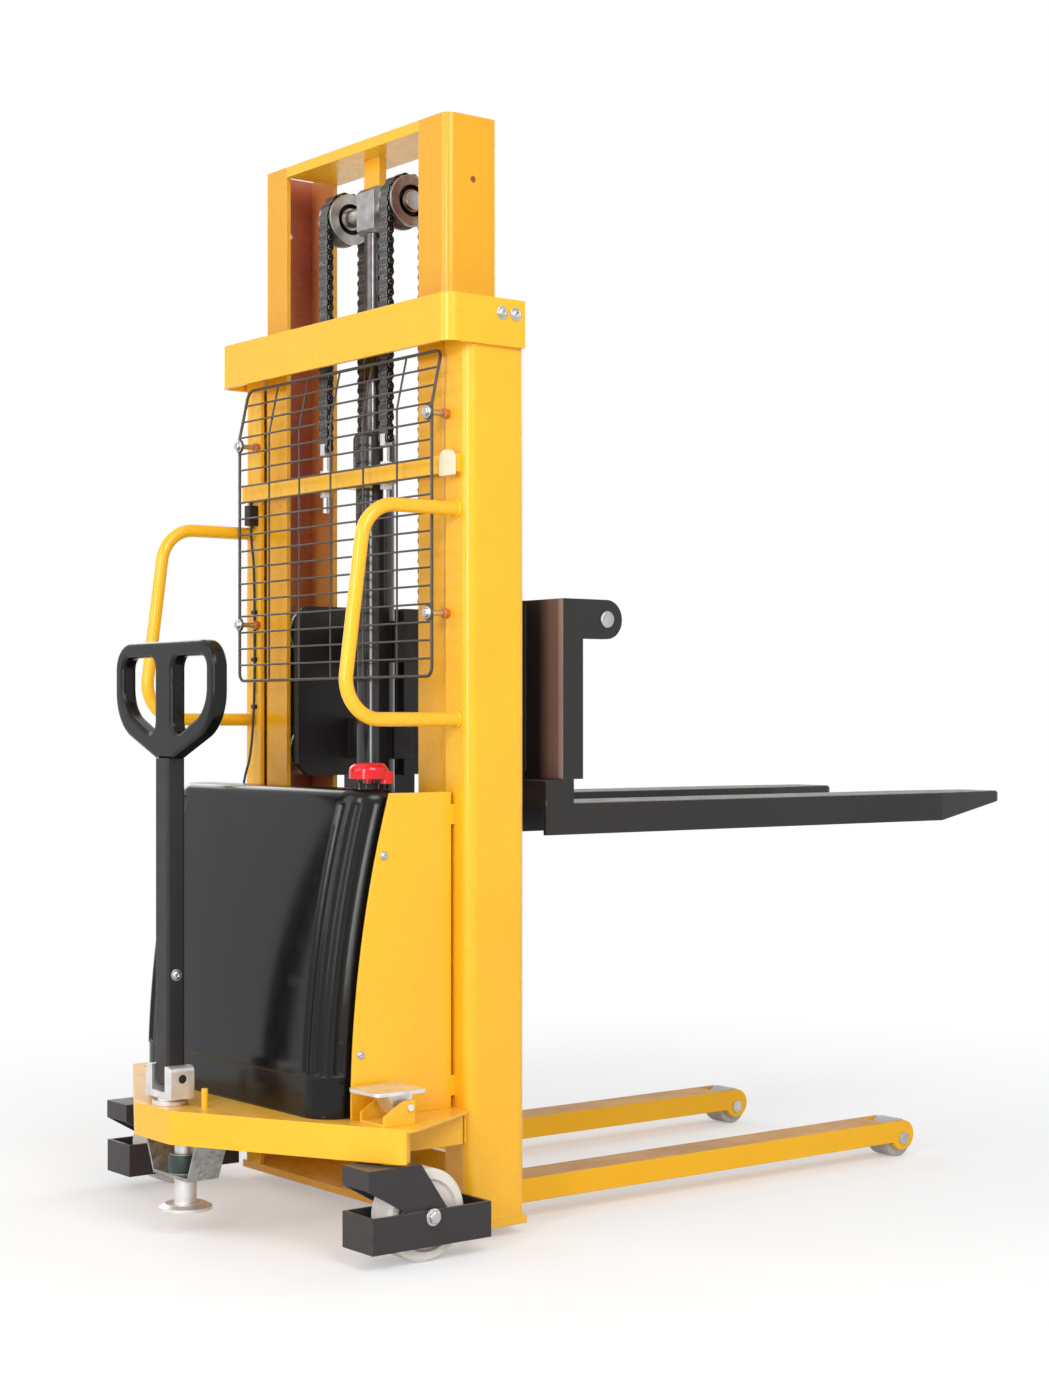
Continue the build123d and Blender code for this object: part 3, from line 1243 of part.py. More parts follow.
# Limit switch on the left upright and the cable clipped down the upright to the battery
with BuildPart() as limit_switch:
    with Locations((-CABLE_X, 0, SWITCH_Z)):
        Box(*SWITCH_SIZE, align=(Align.CENTER, Align.MAX, Align.CENTER))
    fillet(limit_switch.edges().filter_by(Axis.Z).sort_by(Axis.Y)[:2], SWITCH_ROUND)
    with Locations((-CABLE_X, -SWITCH_SIZE[1] / 2, SWITCH_Z + SWITCH_SIZE[2] / 2)):
        Cylinder(SWITCH_ROUND, SWITCH_PLUNGER, align=(Align.CENTER, Align.CENTER, Align.MIN))
write(limit_switch.part, "limit_switch")

CABLE_Y = CABLE_RADIUS + LOOSE
switch_foot = SWITCH_Z - SWITCH_SIZE[2] / 2
battery_lid = PLATFORM_TOP + BATTERY_SIZE[2]
cable_points = [
    (-CABLE_X, -SWITCH_SIZE[1] / 2, switch_foot),
    (-CABLE_X, -SWITCH_SIZE[1] / 2, switch_foot - CABLE_EXIT),
    (-CABLE_X, -CABLE_Y, switch_foot - CABLE_SETTLE),
    (-CABLE_X, -CABLE_Y, CABLE_LEAVES),
    *CABLE_TURNS,
    (*CABLE_TURNS[-1][:2], battery_lid),
]
with BuildPart() as switch_cable:
    with BuildLine():
        cable_run = FilletPolyline(*cable_points, radius=CABLE_BENDS)
    with BuildSketch(Plane(origin=cable_run @ 0, z_dir=cable_run % 0)):
        Circle(CABLE_RADIUS)
    sweep()
cable_volume = math.pi * CABLE_RADIUS**2 * cable_run.length
print("cable length", round(cable_run.length), "volume ratio", switch_cable.part.volume / cable_volume)
write(switch_cable.part, "switch_cable")

clips = []
for clip_z in CLIP_HEIGHTS:
    with BuildPart() as clip:
        with BuildSketch(Plane.XY.offset(clip_z)):
            with Locations((-CABLE_X, 0)):
                Rectangle(CLIP_WIDTH, CABLE_Y + CABLE_RADIUS + CLIP_WALL, align=(Align.CENTER, Align.MAX))
            with Locations((-CABLE_X, -CABLE_Y)):
                Circle(CABLE_RADIUS + SEAT, mode=Mode.SUBTRACT)
        extrude(amount=CLIP_HEIGHT)
    clips.append(clip.part)
write(together(clips), "cable_clips")

# Pale cap on the right-hand end of the chain cross bar
with BuildPart() as bar_cap:
    with Locations((CAP_X, -CROSS_BAR_DEPTH, CROSS_BAR_Z + CROSS_BAR_HEIGHT / 2)):
        Box(*CAP_SIZE, align=(Align.CENTER, Align.MAX, Align.CENTER))
    fillet(bar_cap.edges().filter_by(Axis.Y).group_by(Axis.Z)[0], CAP_ROUND)
    fillet(bar_cap.edges().filter_by(Axis.Y).filter_by(GeomType.LINE).group_by(Axis.Z)[-1], CAP_ARCH)
write(bar_cap.part, "cross_bar_cap")

# Floor lock: a strap bracket under the nose with a guide barrel, and the foot that drops to the floor
with BuildPart() as floor_lock_bracket:
    with BuildSketch(Plane.XZ.offset(LOCK_Y - LOCK_STRAP_WIDTH / 2)):
        with BuildLine():
            outer = [
                (LOCK_STRAP_TOP_HALF, DECK_UNDER),
                (LOCK_STRAP_HALF, LOCK_STRAP_Z),
                (-LOCK_STRAP_HALF, LOCK_STRAP_Z),
                (-LOCK_STRAP_TOP_HALF, DECK_UNDER),
            ]
            strap_side = LOCK_STRAP * LOCK_STRAP_SLANT
            inner = [
                (strap_side - LOCK_STRAP_TOP_HALF, DECK_UNDER),
                (-LOCK_STRAP_HALF, LOCK_STRAP_Z + LOCK_STRAP),
                (LOCK_STRAP_HALF, LOCK_STRAP_Z + LOCK_STRAP),
                (LOCK_STRAP_TOP_HALF - strap_side, DECK_UNDER),
            ]
            Polyline(*outer, *inner, close=True)
        make_face()
    extrude(amount=LOCK_STRAP_WIDTH)
    with BuildSketch(Plane.XY.offset(LOCK_STRAP_Z)):
        with Locations((0, -LOCK_Y)):
            Circle(LOCK_BARREL_RADIUS)
    extrude(amount=LOCK_BARREL_TOP - LOCK_STRAP_Z)
    with BuildSketch(Plane.XY.offset(LOCK_STRAP_Z)):
        with Locations((0, -LOCK_Y)):
            Circle(LOCK_POST_RADIUS + RUNNING)
    extrude(amount=LOCK_BARREL_TOP - LOCK_STRAP_Z, mode=Mode.SUBTRACT)
write(floor_lock_bracket.part, "floor_lock_bracket")

with BuildPart() as floor_lock_foot:
    with BuildSketch(Plane.XY.offset(LOCK_FOOT_Z)):
        with Locations((0, -LOCK_Y)):
            Circle(LOCK_FOOT_RADIUS)
    extrude(amount=LOCK_FOOT_HEIGHT)
    chamfer(floor_lock_foot.edges().group_by(Axis.Z)[-1], LOCK_FOOT_HEIGHT / 2, LOCK_FOOT_HEIGHT)
    with BuildSketch(Plane.XY.offset(LOCK_FOOT_Z + LOCK_FOOT_HEIGHT)):
        with Locations((0, -LOCK_Y)):
            Circle(LOCK_POST_RADIUS)
    extrude(amount=LOCK_BARREL_TOP + LOCK_POST_ABOVE - LOCK_FOOT_Z - LOCK_FOOT_HEIGHT)
write(floor_lock_foot.part, "floor_lock_foot")

# Brake pedal over the right-hand caster, pinned between two bracket walls
pivot_y = -PEDAL_PIVOT_Y
with BuildPart() as pedal_bracket:
    with Locations((PEDAL_X, -PEDAL_Y, PLATFORM_TOP)):
        Box(
            PEDAL_WALL_GAP + 2 * PEDAL_WALL,
            PEDAL_BASE_LENGTH,
            PEDAL_WALL,
            align=(Align.CENTER, Align.CENTER, Align.MIN),
        )
    base_rear = -PEDAL_Y - PEDAL_BASE_LENGTH / 2
    base_front = -PEDAL_Y + PEDAL_BASE_LENGTH / 2
    ear_top = PEDAL_PIVOT_Z + 2 * PEDAL_PIN
    for wall_x in (PEDAL_X - PEDAL_WALL_GAP / 2 - PEDAL_WALL, PEDAL_X + PEDAL_WALL_GAP / 2):
        with BuildSketch(Plane.YZ.offset(wall_x)):
            with BuildLine():
                Polyline(
                    (base_rear, PLATFORM_TOP),
                    (base_front, PLATFORM_TOP),
                    (base_front, ear_top),
                    (pivot_y - 2 * PEDAL_PIN, ear_top),
                    (base_rear, PEDAL_PIVOT_Z - 2 * PEDAL_PIN),
                    close=True,
                )
            make_face()
            with Locations((pivot_y, PEDAL_PIVOT_Z)):
                Circle(PEDAL_PIN + RUNNING, mode=Mode.SUBTRACT)
        extrude(amount=PEDAL_WALL)
write(pedal_bracket.part, "pedal_bracket")

with BuildPart() as brake_pedal:
    with Locations((PEDAL_X, -PEDAL_Y, PEDAL_TOP)):
        Box(PEDAL_WIDTH, PEDAL_LENGTH, PEDAL_PLATE, align=(Align.CENTER, Align.CENTER, Align.MAX))
    fillet(brake_pedal.edges().filter_by(Axis.Z), PEDAL_ROUND)
    with BuildSketch(Plane.YZ.offset(PEDAL_X - PEDAL_CAM_WIDTH / 2)):
        with BuildLine():
            Polyline(
                (pivot_y + 3 * PEDAL_PIN, PEDAL_TOP - PEDAL_PLATE / 2),
                (pivot_y - 6 * PEDAL_PIN, PEDAL_TOP - PEDAL_PLATE / 2),
                (pivot_y - 3 * PEDAL_PIN, PEDAL_PIVOT_Z - 2 * PEDAL_PIN),
                (pivot_y + 2 * PEDAL_PIN, PEDAL_PIVOT_Z - 2 * PEDAL_PIN),
                close=True,
            )
        make_face()
    extrude(amount=PEDAL_CAM_WIDTH)
    pin_half = PEDAL_WALL_GAP / 2 + PEDAL_WALL + PEDAL_PIN
    with BuildSketch(Plane.YZ.offset(PEDAL_X - pin_half)):
        with Locations((pivot_y, PEDAL_PIVOT_Z)):
            Circle(PEDAL_PIN)
    extrude(amount=2 * pin_half)
write(brake_pedal.part, "brake_pedal")

# Casters: a crown on a swivel stem, two raked cheeks, a foot guard round the wheel and the axle bolt
WHEEL_Y = CASTER_TRAIL - CASTER_Y
cheek_inner = WHEEL_WIDTH / 2 + CASTER_CHEEK_GAP
cheek_outer = cheek_inner + CASTER_CHEEK
guard_outer = cheek_outer + WHEEL_GUARD_BAR
with BuildPart() as caster_fork:
    with BuildSketch(Plane.XY.offset(CROWN_BOTTOM)):
        with Locations((CASTER_X, CASTER_CROWN_FRONT - CASTER_Y)):
            Rectangle(
                2 * cheek_outer,
                CASTER_CROWN_REAR + CASTER_CROWN_FRONT,
                align=(Align.CENTER, Align.MAX),
            )
    extrude(amount=CASTER_CROWN)
    with BuildSketch(Plane.XY.offset(CROWN_TOP)):
        with Locations((CASTER_X, -CASTER_Y)):
            Circle(CASTER_STEM_RADIUS)
    extrude(amount=PLATFORM_TOP - CROWN_TOP - LOOSE)
    with Locations((CASTER_X, -CASTER_Y - CASTER_CROWN_REAR, CROWN_TOP)):
        Box(2 * cheek_outer, CASTER_CHEEK, CASTER_TAB, align=(Align.CENTER, Align.MIN, Align.MAX))
    for cheek_x in (CASTER_X + cheek_inner, CASTER_X - cheek_outer):
        with BuildSketch(Plane.YZ.offset(cheek_x)):
            with BuildLine():
                Polyline(
                    (-CASTER_Y - CASTER_CROWN_REAR, CROWN_TOP),
                    (-CASTER_Y + CASTER_CROWN_FRONT, CROWN_TOP),
                    (WHEEL_Y + CASTER_BOSS_FRONT, WHEEL_RADIUS + CASTER_BOSS_RISE),
                    (WHEEL_Y + CASTER_BOSS_FRONT, WHEEL_RADIUS - CASTER_BOSS),
                    (WHEEL_Y - CASTER_BOSS_REAR, WHEEL_RADIUS - CASTER_BOSS),
                    (WHEEL_Y - CASTER_BOSS_REAR, WHEEL_RADIUS + CASTER_BOSS_RISE),
                    (-CASTER_Y - CASTER_CROWN_REAR, CROWN_TOP - CASTER_TAB),
                    close=True,
                )
            make_face()
        extrude(amount=CASTER_CHEEK)
    with BuildSketch(Plane.XY.offset(WHEEL_GUARD_LOW)):
        with Locations((CASTER_X, WHEEL_Y)):
            Rectangle(2 * guard_outer, WHEEL_GUARD_LENGTH)
            Rectangle(2 * cheek_outer, WHEEL_GUARD_LENGTH - 2 * WHEEL_GUARD_BAR, mode=Mode.SUBTRACT)
    extrude(amount=WHEEL_GUARD_HEIGHT)
    bolt_half = guard_outer + WHEEL_BOLT_HEAD
    with BuildSketch(Plane.YZ.offset(CASTER_X - bolt_half)):
        with Locations((WHEEL_Y, WHEEL_RADIUS)):
            Circle(WHEEL_AXLE)
    extrude(amount=2 * bolt_half)
write_pair(caster_fork.part, "caster_fork")

# Rear wheels: nylon, with a dished web between the hub and the tread
wheel_half = WHEEL_WIDTH / 2
wheel_outline = [
    (-wheel_half, WHEEL_AXLE + RUNNING),
    (wheel_half, WHEEL_AXLE + RUNNING),
    (wheel_half, WHEEL_HUB),
    (wheel_half - WHEEL_DISH, WHEEL_HUB + WHEEL_DISH / 2),
    (wheel_half - WHEEL_DISH, WHEEL_RIM - WHEEL_DISH / 2),
    (wheel_half, WHEEL_RIM),
    (wheel_half, WHEEL_RADIUS - WHEEL_DISH),
    (wheel_half - WHEEL_DISH, WHEEL_RADIUS),
]
wheel_outline += [(-x, radius) for x, radius in reversed(wheel_outline[2:])]
write_pair(turned(wheel_outline, (CASTER_X, WHEEL_Y, WHEEL_RADIUS)), "rear_wheel")

# Tiller yoke: a turning post with a clevis block that the tiller tilts in
with BuildPart() as tiller_yoke:
    with BuildSketch(Plane.XY.offset(DECK_UNDER)):
        with Locations((0, -TILLER_Y)):
            Circle(YOKE_SPIGOT)
    extrude(amount=PLATFORM_PLATE + YOKE_DISC)
    with BuildSketch(Plane.XY.offset(PLATFORM_TOP + LOOSE)):
        with Locations((0, -TILLER_Y)):
            Circle(YOKE_DISC_RADIUS)
    extrude(amount=YOKE_DISC)
    with BuildSketch(Plane.XY.offset(PLATFORM_TOP + YOKE_DISC)):
        with Locations((0, -TILLER_Y)):
            Circle(YOKE_POST_RADIUS)
    extrude(amount=YOKE_BOTTOM - PLATFORM_TOP - YOKE_DISC)
    with Locations((0, -TILLER_Y, YOKE_BOTTOM)):
        Box(*YOKE_SIZE, align=(Align.CENTER, Align.CENTER, Align.MIN))
    fillet(tiller_yoke.edges().filter_by(Axis.Y).group_by(Axis.Z)[-1], YOKE_ROUND)
    with Locations((0, -TILLER_Y, YOKE_BOTTOM + YOKE_FLOOR)):
        Box(
            STEM_WIDTH + 2 * STEM_SIDE_GAP,
            YOKE_SIZE[1],
            YOKE_SIZE[2],
            align=(Align.CENTER, Align.CENTER, Align.MIN),
            mode=Mode.SUBTRACT,
        )
    with BuildSketch(Plane.YZ.offset(-YOKE_SIZE[0] / 2)):
        with Locations((-TILLER_Y, TILLER_PIVOT_Z)):
            Circle(TILLER_PIN + RUNNING)
    extrude(amount=YOKE_SIZE[0], mode=Mode.SUBTRACT)
write(tiller_yoke.part, "tiller_yoke")

# Tiller stem: a box tube on its pivot pin, and the moulded head with a grip loop either side
with BuildPart() as tiller_stem:
    with BuildSketch(Plane.YZ.offset(-STEM_WIDTH / 2)):
        with Locations((-TILLER_Y, TILLER_PIVOT_Z)):
            Circle(STEM_DEPTH / 2)
            Rectangle(STEM_DEPTH, HEAD_BOTTOM - TILLER_PIVOT_Z, align=(Align.CENTER, Align.MIN))
    extrude(amount=STEM_WIDTH)
    stem_edges = tiller_stem.edges().filter_by(Axis.Z)
    fillet(stem_edges, STEM_ROUND)
    with BuildSketch(Plane.YZ.offset(-YOKE_SIZE[0] / 2)):
        with Locations((-TILLER_Y, TILLER_PIVOT_Z)):
            Circle(TILLER_PIN)
    extrude(amount=YOKE_SIZE[0])
write(tiller_stem.part, "tiller_stem")

head_post = STEM_WIDTH / 2 + HEAD_POST_WALL
loop_low = HEAD_BOTTOM + HEAD_RISE
with BuildPart() as tiller_head:
    with BuildSketch(Plane.XZ.offset(TILLER_Y - HEAD_DEPTH / 2)) as head_outline:
        with BuildLine():
            Polyline(
                (head_post, HEAD_BOTTOM),
                (HEAD_HALF_WIDTH, loop_low),
                (HEAD_HALF_WIDTH, HEAD_TOP),
                (-HEAD_HALF_WIDTH, HEAD_TOP),
                (-HEAD_HALF_WIDTH, loop_low),
                (-head_post, HEAD_BOTTOM),
                close=True,
            )
        make_face()
        fillet(head_outline.vertices().sort_by(Axis.Y)[2:4], HEAD_LOW_CORNER)
        fillet(head_outline.vertices().sort_by(Axis.Y)[-2:], HEAD_CORNER)
    extrude(amount=HEAD_DEPTH)
    for side in (1, -1):
        with BuildSketch(Plane.XZ.offset(TILLER_Y - HEAD_DEPTH / 2)) as grip_gap:
            with BuildLine():
                Polyline(
                    (side * head_post, HEAD_BOTTOM + HEAD_BAR * HEAD_SLANT),
                    (side * (HEAD_HALF_WIDTH - HEAD_BAR), loop_low + HEAD_BAR),
                    (side * (HEAD_HALF_WIDTH - HEAD_BAR), HEAD_TOP - HEAD_BAR),
                    (side * head_post, HEAD_TOP - HEAD_BAR),
                    close=True,
                )
            make_face()
            fillet(grip_gap.vertices().sort_by(Axis.Y)[1], HEAD_LOW_CORNER - HEAD_BAR)
            gap_corners = grip_gap.vertices().sort_by(Axis.Y)
            fillet([gap_corners[0], *gap_corners[-2:]], HEAD_CORNER - HEAD_BAR)
        extrude(amount=HEAD_DEPTH, mode=Mode.SUBTRACT)
    fillet(tiller_head.faces().filter_by(Axis.Y).edges(), HEAD_SOFT)
write(tiller_head.part, "tiller_head")

# Emergency knob: a mushroom on a stem that pushes down through its collar
knob_under = HOOD_TOP + KNOB_COLLAR_HEIGHT + KNOB_TRAVEL + LOOSE
with BuildPart() as emergency_knob:
    with BuildSketch(Plane.XZ.offset(KNOB_Y)):
        with BuildLine():
            Polyline(
                (KNOB_X, knob_under + KNOB_HEIGHT),
                (KNOB_X, HOOD_TOP - HOOD_WALL - KNOB_TAIL),
                (KNOB_X + KNOB_STEM, HOOD_TOP - HOOD_WALL - KNOB_TAIL),
                (KNOB_X + KNOB_STEM, knob_under),
                (KNOB_X + KNOB_RADIUS, knob_under),
                (KNOB_X + KNOB_RADIUS, knob_under + KNOB_HEIGHT),
                close=True,
            )
        make_face()
    revolve(axis=Axis((KNOB_X, -KNOB_Y, 0), (0, 0, 1)))
    fillet(emergency_knob.edges().group_by(Axis.Z)[-1], KNOB_DOME)
    with BuildSketch(Plane.XY.offset(knob_under - KNOB_LOBE_DROP)):
        with Locations((KNOB_X + KNOB_LOBE_X, KNOB_LOBE_Y - KNOB_Y)):
            Circle(KNOB_LOBE_RADIUS)
    extrude(amount=KNOB_LOBE_DROP + KNOB_HEIGHT - KNOB_DOME)
write(emergency_knob.part, "emergency_knob")

# Bolts through the top beam and screws in the side panels
fasteners = []
for side in (1, -1):
    heads = [(MAST_HALF + TOP_BEAM_PLATE, y, MAST_TOP - BEAM_BOLT_DROP, BEAM_BOLT) for y in BEAM_BOLT_Y]
    heads += [
        (PANEL_X, PANEL_SETBACK + PANEL_SCREW_EDGE + hood_curve(0, z, HOOD_TOP)[0][0], z, PANEL_SCREW)
        for z in PANEL_SCREW_Z
    ]
    for x, y, z, radius in heads:
        with BuildPart() as fastener:
            with BuildSketch(Plane.YZ.offset(side * x)):
                with Locations((y, z)):
                    Circle(radius)
            extrude(amount=side * radius * FASTENER_HEAD)
            chamfer(fastener.edges().group_by(Axis.X)[-1 if side > 0 else 0], radius * FASTENER_HEAD / 2)
        fasteners.append(fastener.part)
write(together(fasteners), "frame_fasteners")
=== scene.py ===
"""Looks of the semi-electric stacker: finishes, chains, wire guard, fasteners, studio and camera."""

import json
import math

import bmesh
import bpy
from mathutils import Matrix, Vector


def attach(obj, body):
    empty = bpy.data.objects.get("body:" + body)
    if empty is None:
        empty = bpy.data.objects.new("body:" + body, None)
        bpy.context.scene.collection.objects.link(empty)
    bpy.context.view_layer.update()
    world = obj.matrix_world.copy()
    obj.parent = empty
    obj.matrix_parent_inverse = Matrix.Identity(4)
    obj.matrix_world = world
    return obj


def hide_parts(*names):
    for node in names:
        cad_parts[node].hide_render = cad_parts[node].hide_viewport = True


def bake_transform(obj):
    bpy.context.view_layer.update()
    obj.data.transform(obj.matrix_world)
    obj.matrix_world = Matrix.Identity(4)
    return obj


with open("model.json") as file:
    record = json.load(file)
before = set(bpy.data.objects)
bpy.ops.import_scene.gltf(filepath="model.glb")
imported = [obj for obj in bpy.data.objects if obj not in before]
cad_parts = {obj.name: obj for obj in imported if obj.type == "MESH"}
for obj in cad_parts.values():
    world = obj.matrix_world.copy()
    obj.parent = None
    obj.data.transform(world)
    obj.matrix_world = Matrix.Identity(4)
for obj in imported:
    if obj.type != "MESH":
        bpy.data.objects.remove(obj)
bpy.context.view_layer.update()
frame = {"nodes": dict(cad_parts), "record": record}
nodes = frame["nodes"]

# Drawn places are in millimetres, with Y from the mast's rear face; the scene is in metres about the
# footprint's middle
MM = 1000.0
FOOTPRINT_MIDDLE = 550.5

# Places of the mix node's colour sockets
MIX_SHARE, MIX_FIRST, MIX_SECOND, MIX_RESULT = 0, 6, 7, 2

# Rounding of edges in the shading: samples, and the cosines where the edge mask begins and is full
EDGE_SAMPLES = 6
EDGE_TURN = (0.98, 0.80)


# Shader helpers
def feed(tree, socket, value):
    """Links a socket to another node's output, or sets its value."""
    if isinstance(value, bpy.types.NodeSocket):
        tree.links.new(value, socket)
    else:
        socket.default_value = value


def add_node(tree, kind, inputs=(), **settings):
    """Adds a shader node, sets its properties, and sets or links its inputs."""
    made = tree.nodes.new(kind)
    for name, value in settings.items():
        setattr(made, name, value)
    for key, value in dict(inputs).items():
        feed(tree, made.inputs[key], value)
    return made


def colour(red, green, blue):
    """Colour as seen on screen, 0 to 255, turned by the sRGB curve into the value that a shader takes."""
    linear = []
    for value in (red / 255, green / 255, blue / 255):
        linear.append(value / 12.92 if value <= 0.04045 else ((value + 0.055) / 1.055) ** 2.4)
    return (*linear, 1.0)


def place(tree, stretch=(1, 1, 1)):
    """Coordinates on the object in metres, stretched along the axes."""
    coords = add_node(tree, "ShaderNodeTexCoord").outputs["Object"]
    return add_node(tree, "ShaderNodeMapping", {"Vector": coords, "Scale": stretch}).outputs["Vector"]


def split(tree, output):
    """X, Y and Z of the object's own position or normal."""
    source = add_node(tree, "ShaderNodeTexCoord").outputs[output]
    return add_node(tree, "ShaderNodeSeparateXYZ", {0: source}).outputs


def noise(tree, scale, detail=3.0, stretch=(1, 1, 1)):
    """Cloudy value about 0.5, with the scale in cells to the metre."""
    inputs = {"Vector": place(tree, stretch), "Scale": scale, "Detail": detail}
    return add_node(tree, "ShaderNodeTexNoise", inputs).outputs["Fac"]


def remap(tree, value, low, high, to_low=0.0, to_high=1.0):
    """Ramp between two values, level outside them; a mask begins at the first and is full at the second."""
    inputs = {"Value": value, "From Min": low, "From Max": high, "To Min": to_low, "To Max": to_high}
    return add_node(tree, "ShaderNodeMapRange", inputs, clamp=True).outputs["Result"]


def calculate(tree, operation, first, second=0.0):
    return add_node(tree, "ShaderNodeMath", {0: first, 1: second}, operation=operation).outputs["Value"]


def multiply(tree, first, *others):
    for other in others:
        first = calculate(tree, "MULTIPLY", first, other)
    return first


def distance(tree, value, middle=0.0):
    """How far a value lies from a middle, to either side."""
    return calculate(tree, "ABSOLUTE", calculate(tree, "SUBTRACT", value, middle))


def mix(tree, share, first, second):
    """Colour between two colours, by a share from 0 to 1."""
    inputs = {MIX_SHARE: share, MIX_FIRST: first, MIX_SECOND: second}
    return add_node(tree, "ShaderNodeMix", inputs, data_type="RGBA").outputs[MIX_RESULT]


def coat(tree, body, films):
    """Body colour with films of other colours laid over it, each by its mask."""
    for mask, film in films(tree) if films else ():
        body = mix(tree, mask, body, film)
    return body


def bump(tree, height, strength, depth, normal):
    inputs = {"Height": height, "Strength": strength, "Distance": depth, "Normal": normal}
    return add_node(tree, "ShaderNodeBump", inputs).outputs["Normal"]


def soft_edges(tree, radius):
    """Normal rounded over the edges, and a mask that is 1 along them."""
    rounded = add_node(tree, "ShaderNodeBevel", {"Radius": radius}, samples=EDGE_SAMPLES).outputs["Normal"]
    flat = add_node(tree, "ShaderNodeNewGeometry").outputs["Normal"]
    turn = add_node(tree, "ShaderNodeVectorMath", {0: rounded, 1: flat}, operation="DOT_PRODUCT")
    return rounded, remap(tree, turn.outputs["Value"], *EDGE_TURN)


def background_rays(tree):
    """1 for rays that show the background itself: to the camera, in a reflection or through glass."""
    rays = add_node(tree, "ShaderNodeLightPath").outputs
    seen = calculate(tree, "MAXIMUM", rays["Is Camera Ray"], rays["Is Glossy Ray"])
    return calculate(tree, "MAXIMUM", seen, rays["Is Transmission Ray"])


def start(name):
    material = bpy.data.materials.new(name)
    material.use_nodes = True
    tree = material.node_tree
    return material, tree, tree.nodes["Principled BSDF"]


def fill(tree, shader, values):
    for name, value in values.items():
        feed(tree, shader.inputs[name], value)


# Films: red-brown inside the channels, painted reflection and highlight on the carriage, grime on the legs
# and painted shade on the sheaves, by their places in metres about the footprint's middle
# Red-brown inside the channels' webs and orange-brown inside their flanges
CHANNEL_WEB = (0.300, 0.303)
CHANNEL_MIDDLE = -0.486
CHANNEL_INSIDE = (0.0530, 0.0515)
CHANNEL_WEB_RED = colour(172, 86, 70)
CHANNEL_FLANGE_BROWN = colour(206, 130, 78)
# Painted reflection of the yellow mast on the shanks' rear faces: brown down their outer part, lighter near
# the edge
SHANK_FOOT = (0.812, 0.822)
SHANK_OUTER = (0.262, 0.296)
SHANK_EDGE = (0.316, 0.328)
SHANK_MAST_REFLECTION = colour(166, 134, 124)
SHANK_REFLECTION_STREAK = colour(170, 158, 152)
# Painted highlight along the forks' top edges: height, width, share and colour
FORK_TOP = 0.773
FORK_RIM = (0.006, 0.003)
FORK_RIM_WIDTH = 0.004
FORK_HIGHLIGHT_SHARE = 0.85
FORK_TOP_HIGHLIGHT = colour(150, 144, 140)
LEG_GRIME = colour(152, 98, 42)
# Painted shade on the sheaves: dark in the recessed ring of each, brown on the outer side of the right one
SHEAVE_MIDDLE = (-0.4875, 1.901)
SHEAVE_RECESS = 0.0257
SHEAVE_RECESS_HALF = (0.0050, 0.0038)
SHEAVE_SHADE_END = (0.0475, 0.0455)
SHEAVE_RIGHT = (0.0, 0.01)
SHEAVE_SIDE_SHADE = colour(140, 98, 70)
SHEAVE_RECESS_SHADE = colour(40, 34, 32)


def channel_films(tree):
    """Red-brown on the inside of a channel's web and orange-brown on the inside of its flanges."""
    at = split(tree, "Object")
    normal = split(tree, "Normal")
    inward = multiply(tree, calculate(tree, "SIGN", at["X"]), normal["X"])
    web = remap(tree, distance(tree, at["X"]), *CHANNEL_WEB)
    web = multiply(tree, web, remap(tree, inward, -0.4, -0.8))
    flange = remap(tree, distance(tree, at["Y"], CHANNEL_MIDDLE), *CHANNEL_INSIDE)
    flange = multiply(tree, flange, remap(tree, distance(tree, normal["Y"]), 0.5, 0.9))
    patch = remap(tree, noise(tree, 12.0, 5.0, (1, 1, 0.25)), 0.3, 0.6, 0.70, 1.0)
    return (multiply(tree, web, patch), CHANNEL_WEB_RED), (multiply(tree, flange, patch), CHANNEL_FLANGE_BROWN)


def carriage_films(tree):
    """Painted reflection of the yellow mast in brown down the outer part of the shanks' rear faces, with a
    lighter painted streak near their edge, and a painted highlight along the forks' top edges.
    """
    at = split(tree, "Object")
    out = distance(tree, at["X"])
    back = remap(tree, split(tree, "Normal")["Y"], -0.5, -0.95)
    back = multiply(tree, back, remap(tree, at["Z"], *SHANK_FOOT))
    patch = remap(tree, noise(tree, 10.0, 5.0, (1, 1, 0.3)), 0.3, 0.7, 0.60, 0.95)
    # Painted reflection of the mast: brown, with a lighter streak near the edge
    mast_reflection = multiply(tree, remap(tree, out, *SHANK_OUTER), patch)
    reflection_streak = multiply(tree, remap(tree, out, *SHANK_EDGE), noise(tree, 6.0, 3.0, (1, 1, 0.5)))
    # Painted highlight along the forks' top edges
    rim = soft_edges(tree, FORK_RIM_WIDTH)[1]
    top_highlight = multiply(tree, rim, remap(tree, distance(tree, at["Z"], FORK_TOP), *FORK_RIM))
    return (
        (multiply(tree, back, mast_reflection), SHANK_MAST_REFLECTION),
        (multiply(tree, back, reflection_streak), SHANK_REFLECTION_STREAK),
        (multiply(tree, top_highlight, FORK_HIGHLIGHT_SHARE), FORK_TOP_HIGHLIGHT),
    )


def leg_films(tree):
    """Brown grime trodden into the tops of the legs."""
    up = remap(tree, split(tree, "Normal")["Z"], 0.7, 0.95)
    patch = remap(tree, noise(tree, 9.0, 5.0, (1, 0.4, 1)), 0.3, 0.7, 0.55, 0.85)
    return ((multiply(tree, up, patch), LEG_GRIME),)


